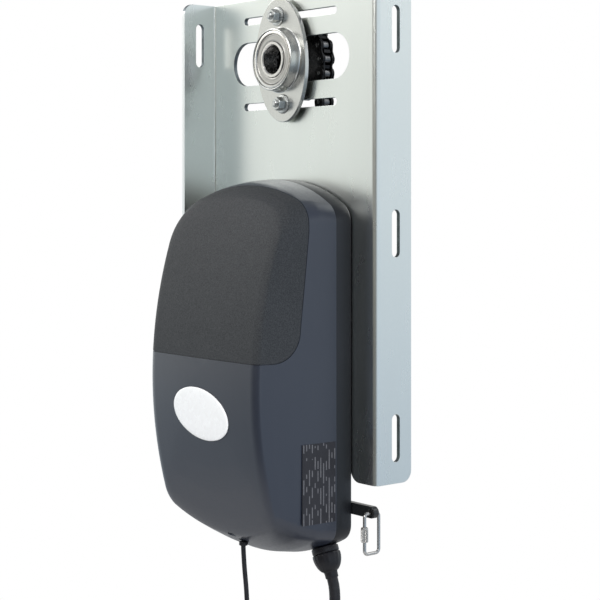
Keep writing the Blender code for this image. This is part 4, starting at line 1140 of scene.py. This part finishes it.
def make_sprocket(looks, name, node, body, teeth, pitch_radius, z, bore, hub, hub_end, screw=False):
    """A toothed disc with a hub towards the rear, a keyed bore and, on the larger one, a screw hole."""
    tip = PITCH * (0.6 + 1 / math.tan(math.pi / teeth)) / 2
    centre = (DRIVE_X, CHAIN_Y, z)
    half = TOOTH_WIDE / 2
    disc = prism(tooth_outline(teeth, pitch_radius, tip, DRIVE_X, z), "Y", CHAIN_Y - half, CHAIN_Y + half)
    boss = [(0, 0.5), (hub, 0.5), (hub, hub_end - 1.0), (hub - 1.0, hub_end), (0, hub_end)]
    key = [(-2.8, 0), (2.8, 0), (2.8, bore + 2.6), (-2.8, bore + 2.6)]
    through = CHAIN_Y - 12, CHAIN_Y + hub_end + 9
    keyway = prism([(DRIVE_X + u, z + v) for u, v in key], "Y", *through)
    made = combine(name, disc, [lathe(boss, centre, "Y", 72)], "UNION", looks["oiled_black"])
    cut(made, rod((DRIVE_X, 0, z), "Y", bore, *through, 64))
    cut(made, keyway)
    if screw:
        cut(made, rod((DRIVE_X, CHAIN_Y + 12.0, z), "X", 3.3, -26, -10, 24))
    coat(made, looks["oiled_black"], 32.0)
    soften(made, 0.3, 45.0)
    settle(made, body, "oiled_black", node)


# ---------------------------------------------------------------- housing


def depth(z):
    return DEEPEST - DEPTH_BOW * (z - DEEPEST_Z) ** 2


def end_curve(half, tip, arch, corner):
    """The arched upper end of an outline, from right to left, with its rounded corners."""
    middle = tip - arch
    cz = middle + math.sqrt((arch - corner) ** 2 - (half - corner) ** 2)
    turn_to = math.degrees(math.atan2(cz - middle, half - corner))
    quarter = arc(half - corner, cz, corner, 0, turn_to, 12)
    quarter += arc(0, middle, arch, turn_to, 90, 14)[1:]
    return quarter + [(-u, v) for u, v in quarter[-2::-1]]


def house_outline(half, top, low, top_arch, top_corner, low_corner):
    upper = end_curve(half, top, top_arch, top_corner)
    lower = [(u, -v) for u, v in end_curve(half, -low, LOW_ARCH, low_corner)[::-1]]
    steps = 26
    left = [(-half, upper[-1][1] + (lower[0][1] - upper[-1][1]) * i / steps) for i in range(1, steps)]
    right = [(half, lower[-1][1] + (upper[0][1] - lower[-1][1]) * i / steps) for i in range(1, steps)]
    return upper + left + lower + right


def eased_rings(rings, share, wide, broad):
    """Rounds each crease between the facets: a narrow band, but a broad one at ring number 'wide'."""
    made = [rings[0]]
    for k in range(1, len(rings) - 1):
        before, here, after = rings[k - 1], rings[k], rings[k + 1]
        reach, steps = (broad, 8) if k == wide else (share, 2)
        for i in range(steps + 1):
            t = i / steps
            row = []
            for a, b, c in zip(before, here, after):
                first, last = a.lerp(b, 1.0 - reach), b.lerp(c, reach)
                row.append(first.lerp(b, t).lerp(b.lerp(last, t), t))
            made.append(row)
    made.append(rings[-1])
    return made


def cover_rings(inset, back):
    """The cover's rings, from its open rear edge over the facets to the middle of its front face."""
    start = -SPLIT_Y
    shape = [  # share of depth, side, top and bottom inset, top corner, bottom corner, top arch
        (0.0, 0.0, 0.0, 0.0, TOP_CORNER, LOW_CORNER, TOP_ARCH),
        (FIRST_SHARE, FIRST_INSET, 1.2, 3.0, 20.0, 15.0, 165.0),
        (0.62, 3.2, 3.4, 9.0, 23.0, 16.0, 175.0),
        (0.84, 6.0, 8.5, 16.5, 28.0, 17.0, 180.0),
        (0.95, 8.0, 15.0, 21.0, 32.0, 17.0, 185.0),
        (1.0, FACE_INSET, 23.0, 25.5, 34.0, 16.0, 190.0),
    ]
    rings = []
    for share, side, top, low, top_corner, low_corner, arch in shape:
        outline = house_outline(
            HOUSE_HALF - side - inset, HOUSE_TOP - top - inset, HOUSE_LOW + low + inset,
            arch, top_corner, low_corner)
        rings.append([Vector((x, -(start + share * (depth(z) - inset - start)), z)) for x, z in outline])
    edge = rings[-1]
    for share in (0.9, 0.75, 0.6, 0.45, 0.3, 0.15):
        row = []
        for spot in edge:
            x, z = spot.x * share, FACE_MID_Z + (spot.z - FACE_MID_Z) * share
            row.append(Vector((x, -(depth(z) - inset + CROWN * (1 - share ** 2)), z)))
        rings.append(row)
    rings = eased_rings(rings, 0.16, 5, 0.8)
    if back is not None:
        rings.insert(0, [Vector((p.x, back, p.z)) for p in rings[0]])
    return rings


def fan(bm, row, peak):
    tip = bm.verts.new(peak)
    for i in range(len(row)):
        bm.faces.new((row[i], row[(i + 1) % len(row)], tip))


def loft(rings, peak=None):
    """A closed skin over rings of points, flat at its far end or drawn up to a peak."""
    bm = bmesh.new()
    rows = [[bm.verts.new(p) for p in row] for row in rings]
    stitch(bm, rows)
    bm.faces.new(rows[0][::-1])
    if peak:
        fan(bm, rows[-1], peak)
    else:
        bm.faces.new(rows[-1])
    return bm


def house(inset, back=None):
    return loft(cover_rings(inset, back), (0.0, -(depth(FACE_MID_Z) + CROWN - inset), FACE_MID_Z))


def panel_side(play):
    """What the inset panel takes of the housing, seen from the side, with some play round it."""
    front, above = -130.0, 70.0
    low = PANEL_LOW - play
    rear_low, rear_high = -56.5 + play, -47.0 + play
    r = PANEL_CORNER + play
    outline = [(front, low)] + arc(rear_low - r, low + r, r, 270, 360, 16)
    outline += [(rear_high, 2.0), (rear_high, above), (front, above)]
    return prism(outline, "X", -110, 110)


def make_cover(looks):
    base = combine("cover_shell", house(0.0), [house(WALL, -8.0)], "DIFFERENCE",
                   looks["anthracite_plastic"])
    recess = put("recess", panel_side(GROOVE), None)
    cut(recess, house(RECESS, -10.0))
    cut(base, recess)
    drain_slit = prism(slot_outline(8.0, -70.0, 10.0, 4.2, 8), "Z", -290, -250)
    cut(base, drain_slit)
    aerial_hole = rod(AERIAL_ROUTE[0], "Z", 4.3, -14, 23, 32)
    cut(base, aerial_hole)
    coat(base, looks["anthracite_plastic"], 42.0)
    settle(even_out(base), "root", "anthracite_plastic", "front_cover")

    panel = put("grained_panel", house(0.0, -10.0), None)
    cut(panel, panel_side(0.0), "INTERSECT")
    cut(panel, house(RECESS - GAP, -5.0))
    coat(panel, looks["textured_panel"], 42.0)
    settle(even_out(panel), "root", "textured_panel", "inset_panel")


def base_shell(inset, rows):
    """The base as a block, from (y, inset) rows at its rounded rear edge to its front one."""
    rings = []
    for y, more in rows:
        outline = house_outline(HOUSE_HALF - inset - more, HOUSE_TOP - inset - more,
                                HOUSE_LOW + inset + more, TOP_ARCH, TOP_CORNER, LOW_CORNER)
        rings.append([Vector((x, y, z)) for x, z in outline])
    return loft(rings)


def base_holes():
    """The holes through the base and its plate: the drill holes and the lever's pivot."""
    low, high = -12.0, 2.0
    holes = bmesh.new()
    drill(holes, low, high)
    return prism(circle(LEVER_PIVOT_X, LEVER_Z, 4.3, 24), "Y", low, high, holes)


def make_base(looks):
    rows = [(BASE_BACK, 1.8), (BASE_BACK - 0.35, 1.05), (BASE_BACK - 1.0, 0.5), (BASE_BACK - 2.2, 0.15),
            (BASE_BACK - 4.0, 0.0), (SPLIT_Y + GAP + 0.8, 0.0), (SPLIT_Y + GAP, 0.5)]
    outer = base_shell(0.0, rows)
    inner = base_shell(WALL, [(BASE_BACK - WALL, 0.0), (SPLIT_Y - 6, 0.0)])
    neck = rod((0, 0, 0), "Z", 5.2, -10, 14, 32)
    bmesh.ops.transform(neck, matrix=gland_place(), verts=neck.verts)
    tools = [inner, base_holes(), neck]
    made = combine("base_moulding", outer, tools, "DIFFERENCE", looks["base_plastic"], 42.0)
    settle(made, "root", "anthracite_plastic", "base_shell")

    low, high, wide = -247.0, 24.0, 74.0
    back = BASE_BACK - WALL - GAP
    plate = prism(rounded(0, (low + high) / 2, 2 * wide, high - low, 9, 8), "Y", back - 3.0, back)
    made = combine("back_plate", plate, [base_holes()], "DIFFERENCE", looks["black_steel"])
    soften(made, 0.4)
    settle(made, "root", "black_steel", "mount_plate")


def face_y(x, z):
    """Where the crowned front face is at a place near its middle line."""
    share = min(1.0, abs(x) / (HOUSE_HALF - FACE_INSET))
    return -(depth(z) + CROWN * (1 - share ** 2))


def oval(steps):
    """A domed oval on the front face, from (lift, inset) steps between its back and its top."""
    (cx, cz), (wide, high), lean, sides = BADGE_AT, BADGE_HALF, math.radians(BADGE_TURN), 96
    bm = bmesh.new()
    rows = []
    for lift, inset in steps:
        row = []
        for i in range(sides):
            a = 2 * math.pi * i / sides
            u, v = (wide - inset) * math.cos(a), (high - inset) * math.sin(a)
            x = cx + u * math.cos(lean) - v * math.sin(lean)
            z = cz + u * math.sin(lean) + v * math.cos(lean)
            row.append(bm.verts.new((x, face_y(x, z) + lift, z)))
        rows.append(row)
    stitch(bm, rows)
    for row in (rows[0], rows[-1]):
        lift = row[0].co.y - face_y(row[0].co.x, row[0].co.z)
        fan(bm, row, (cx, face_y(cx, cz) + lift, cz))
    return bm


def make_badges(looks):
    dome = [(-0.3, 0.0), (-0.9, 0.0), (-1.22, 0.25), (-1.42, 0.9), (-1.54, 2.4), (-1.6, 6.0), (-1.6, 13.0)]
    badge = put("badge_dome", oval(dome), looks["badge_white"], 50.0)
    settle(badge, "root", "badge_white", "badge")

    start, under, thick = -SPLIT_Y + 1.2, 0.12, 0.3
    slope = FIRST_INSET / (FIRST_SHARE * (depth(sum(LABEL_Z) / 2) + SPLIT_Y))
    corners = []
    for y in (start, LABEL_FRONT):
        face = HOUSE_HALF - (y + SPLIT_Y) * slope
        corners += [(face + under, -y), (face + under + thick, -y)]
    outline = [corners[0], corners[1], corners[3], corners[2]]
    label = soften(put("blank_label", prism(outline, "Z", *LABEL_Z), looks["label_black"]), 0.12)
    settle(label, "root", "label_black", "rating_label")


# ---------------------------------------------------------------- release lever and quick link


def make_lever(looks):
    y0, y1 = LEVER_Y
    half = LEVER_HIGH / 2
    outline = arc(LEVER_EYE_X, LEVER_Z, half, -90, 90, 16)
    outline += [(LEVER_PIVOT_X + 14, LEVER_Z + half)]
    outline += arc(LEVER_PIVOT_X, LEVER_Z, 9.0, 50, 310, 32)
    outline += [(LEVER_PIVOT_X + 14, LEVER_Z - half)]
    holes = prism(circle(LEVER_EYE_X, LEVER_Z, 2.6, 32), "Y", y0 - 3, y1 + 3)
    prism(circle(LEVER_PIVOT_X, LEVER_Z, 4.2, 40), "Y", y0 - 3, y1 + 3, holes)
    made = combine("pull_lever", prism(outline, "Y", y0, y1), [holes], "DIFFERENCE", looks["black_steel"])
    soften(made, 0.7, 40.0, 3)
    settle(made, "release_lever", "black_steel", "release_lever")

    start, head = BASE_BACK - 8.0, y1 + GAP
    profile = [(0, start), (3.9, start), (3.9, head), (7.0, head), (7.5, head + 0.5), (7.4, head + 1.3),
               (6.8, head + 2.1), (5.4, head + 2.5), (0, head + 2.5)]
    pin = lathe(profile, (LEVER_PIVOT_X, 0, LEVER_Z), "Y", 64)
    settle(put("pivot_rivet", pin, looks["bolt_zinc"], 30.0), "root", "zinc_plate", "lever_pivot")


def make_link(looks):
    front, rear = LINK_FRONT, LINK_FRONT + LINK_DEEP
    top = LEVER_Z - 0.4
    low = top - LINK_HIGH
    corner = 3.5
    gap_low, gap_high = top - 19.1, top - 15.1
    flat = [(front, gap_low)]
    for y, z, start in ((front + corner, low + corner, 180), (rear - corner, low + corner, 270),
                        (rear - corner, top - corner, 0), (front + corner, top - corner, 90)):
        flat += arc(y, z, corner, start, start + 90, 12)
    flat += [(front, gap_high)]
    line = [Vector((LEVER_EYE_X, y, z)) for y, z in flat]
    wire = tube("link_wire", line, LINK_WIRE, looks["bright_steel"])
    settle(wire, "quick_link", "ground_steel", "quick_link")

    start, end, ridge = gap_low - 4.5, gap_high + 3.9, 0.85
    profile = [(1.75, start + 0.3, 1), (2.2, start, 1), (2.7, start, 1), (3.0, start + 0.5)]
    z = start + 0.9
    while z + ridge < end - 0.6:
        profile += [(3.2, z), (3.2, z + 0.35 * ridge), (3.0, z + 0.7 * ridge)]
        z += ridge
    profile += [(3.0, end - 0.5), (2.7, end, 1), (2.2, end, 1), (1.75, end - 0.3, 1)]
    nut = lathe(profile, (LEVER_EYE_X, LINK_FRONT, 0), "Z", 96, ribs=24, rib_deep=0.3)
    sleeve = put("knurled_sleeve", nut, looks["bright_steel"], 50.0)
    settle(sleeve, "link_sleeve", "ground_steel", "link_sleeve")


# ---------------------------------------------------------------- kept CAD nodes, floor and light


def dress_nodes(looks):
    """Gives the CAD nodes that stay their finished materials."""
    finishes = {
        "ground_steel": ["bearing_cage", "output_shaft", "output_key", "worm_shaft", "hub_screw",
                         "motor_can"],
        "bolt_zinc": ["shaft_end_washer", "shaft_end_screw"],
        "bronze_wheel": ["worm_wheel"],
        "cast_alloy": ["gearbox_case", "gearbox_cover"],
        "black_plastic": ["motor_end_cap", "terminal_block", "relay_block"],
        "winding_copper": ["motor_rotor", "transformer"],
        "board_green": ["control_board"],
    }
    for look, names in finishes.items():
        for name in names:
            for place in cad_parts[name].material_slots:
                place.material = looks[look]


def make_floor():
    """A pale round floor, well below the hanging cables."""
    bm = bmesh.new()
    rows = []
    for radius, drop in ((770.0, 0.0), (790.0, 1.0), (800.0, 4.0)):
        rows.append([bm.verts.new((x, y, FLOOR_Z - drop)) for x, y in circle(0, 0, radius, 128)])
    stitch(bm, rows)
    bm.faces.new(rows[0])
    made = Look("pale_floor", 0.8)
    made.colour(made.drift(made.noise(3.0), (0.62, 0.62, 0.62), (0.66, 0.66, 0.66)))
    made.bump(made.noise(90.0), 0.1, 0.3)
    put("floor", bm, made.made)


def make_world():
    """A white surround for the camera. Everything else sees the studio's three gradients multiplied."""
    world = bpy.data.worlds.new("studio")
    bpy.context.scene.world = world
    world.use_nodes = True
    tree = world.node_tree
    tree.nodes.clear()
    out = tree.nodes.new("ShaderNodeOutputWorld")
    seen = tree.nodes.new("ShaderNodeBackground")
    seen.inputs["Color"].default_value = (1.0, 1.0, 1.0, 1.0)
    light = tree.nodes.new("ShaderNodeBackground")
    path = tree.nodes.new("ShaderNodeLightPath")
    mix = tree.nodes.new("ShaderNodeMixShader")
    way = tree.nodes.new("ShaderNodeTexCoord").outputs["Generated"]

    def gradient(axis, stops):
        share = tree.nodes.new("ShaderNodeVectorMath")
        share.operation = "DOT_PRODUCT"
        share.inputs[1].default_value = axis
        spread = tree.nodes.new("ShaderNodeMapRange")
        spread.inputs["From Min"].default_value = -1.0
        ramp = tree.nodes.new("ShaderNodeValToRGB")
        set_stops(ramp, [((place + 1.0) / 2.0, colour) for place, colour in stops])
        tree.links.new(way, share.inputs[0])
        tree.links.new(share.outputs["Value"], spread.inputs["Value"])
        tree.links.new(spread.outputs["Result"], ramp.inputs["Fac"])
        return ramp.outputs["Color"]

    parts = [gradient(axis, stops) for axis, stops in STUDIO]
    total = parts[0]
    for part in parts[1:]:
        _, first, second, mixed = blend_node(tree, "MULTIPLY")
        tree.links.new(total, first)
        tree.links.new(part, second)
        total = mixed
    tree.links.new(total, light.inputs["Color"])
    tree.links.new(path.outputs["Is Camera Ray"], mix.inputs["Fac"])
    tree.links.new(light.outputs["Background"], mix.inputs[1])
    tree.links.new(seen.outputs["Background"], mix.inputs[2])
    tree.links.new(mix.outputs["Shader"], out.inputs["Surface"])


def make_lights():
    """Large soft panels: a key from the left, a front and a rear one, and a fill that gives no glare."""
    panels = [  # name, place, target, size, power
        ("key", (-1.9, -1.2, 1.5), (0.0, 0.0, -0.05), 1.4, 16.0),
        ("front", (0.2, -2.4, 1.4), (0.0, 0.0, -0.1), 1.5, 34.0),
        ("back", (0.9, 1.8, 1.2), (0.0, 0.0, 0.0), 1.2, 8.0),
        ("side_fill", (2.2, -0.6, 0.4), (0.0, 0.0, -0.1), 1.4, 34.0),
    ]
    for name, place, target, size, power in panels:
        data = bpy.data.lights.new(name, "AREA")
        data.size = size
        data.energy = power
        lamp = bpy.data.objects.new(name, data)
        lamp.location = place
        lamp.visible_glossy = name != "side_fill"
        aim = Vector(target) - Vector(place)
        lamp.rotation_euler = aim.to_track_quat("-Z", "Y").to_euler()
        bpy.context.scene.collection.objects.link(lamp)


make_camera()
looks = make_looks()
make_cables(looks)
make_gland(looks)
make_bracket(looks)
make_flange_plate(looks)
make_bearing(looks)
make_flange_bolts(looks)
make_mount_bolts(looks)
make_chain(looks)
make_sprocket(looks, "door_toothed_wheel", "door_sprocket", "door_drive", DOOR_TEETH, DOOR_RADIUS,
              BEARING_Z, bore=DOOR_BORE, hub=21.5, hub_end=19.0, screw=True)
make_sprocket(looks, "output_toothed_wheel", "output_sprocket", "output_drive", OUTPUT_TEETH, OUTPUT_RADIUS,
              OUTPUT_Z, bore=10.3, hub=17.0, hub_end=13.0)
make_cover(looks)
make_base(looks)
make_badges(looks)
make_lever(looks)
make_link(looks)
dress_nodes(looks)
make_floor()
make_world()
make_lights()
bpy.context.scene.view_settings.view_transform = "Standard"
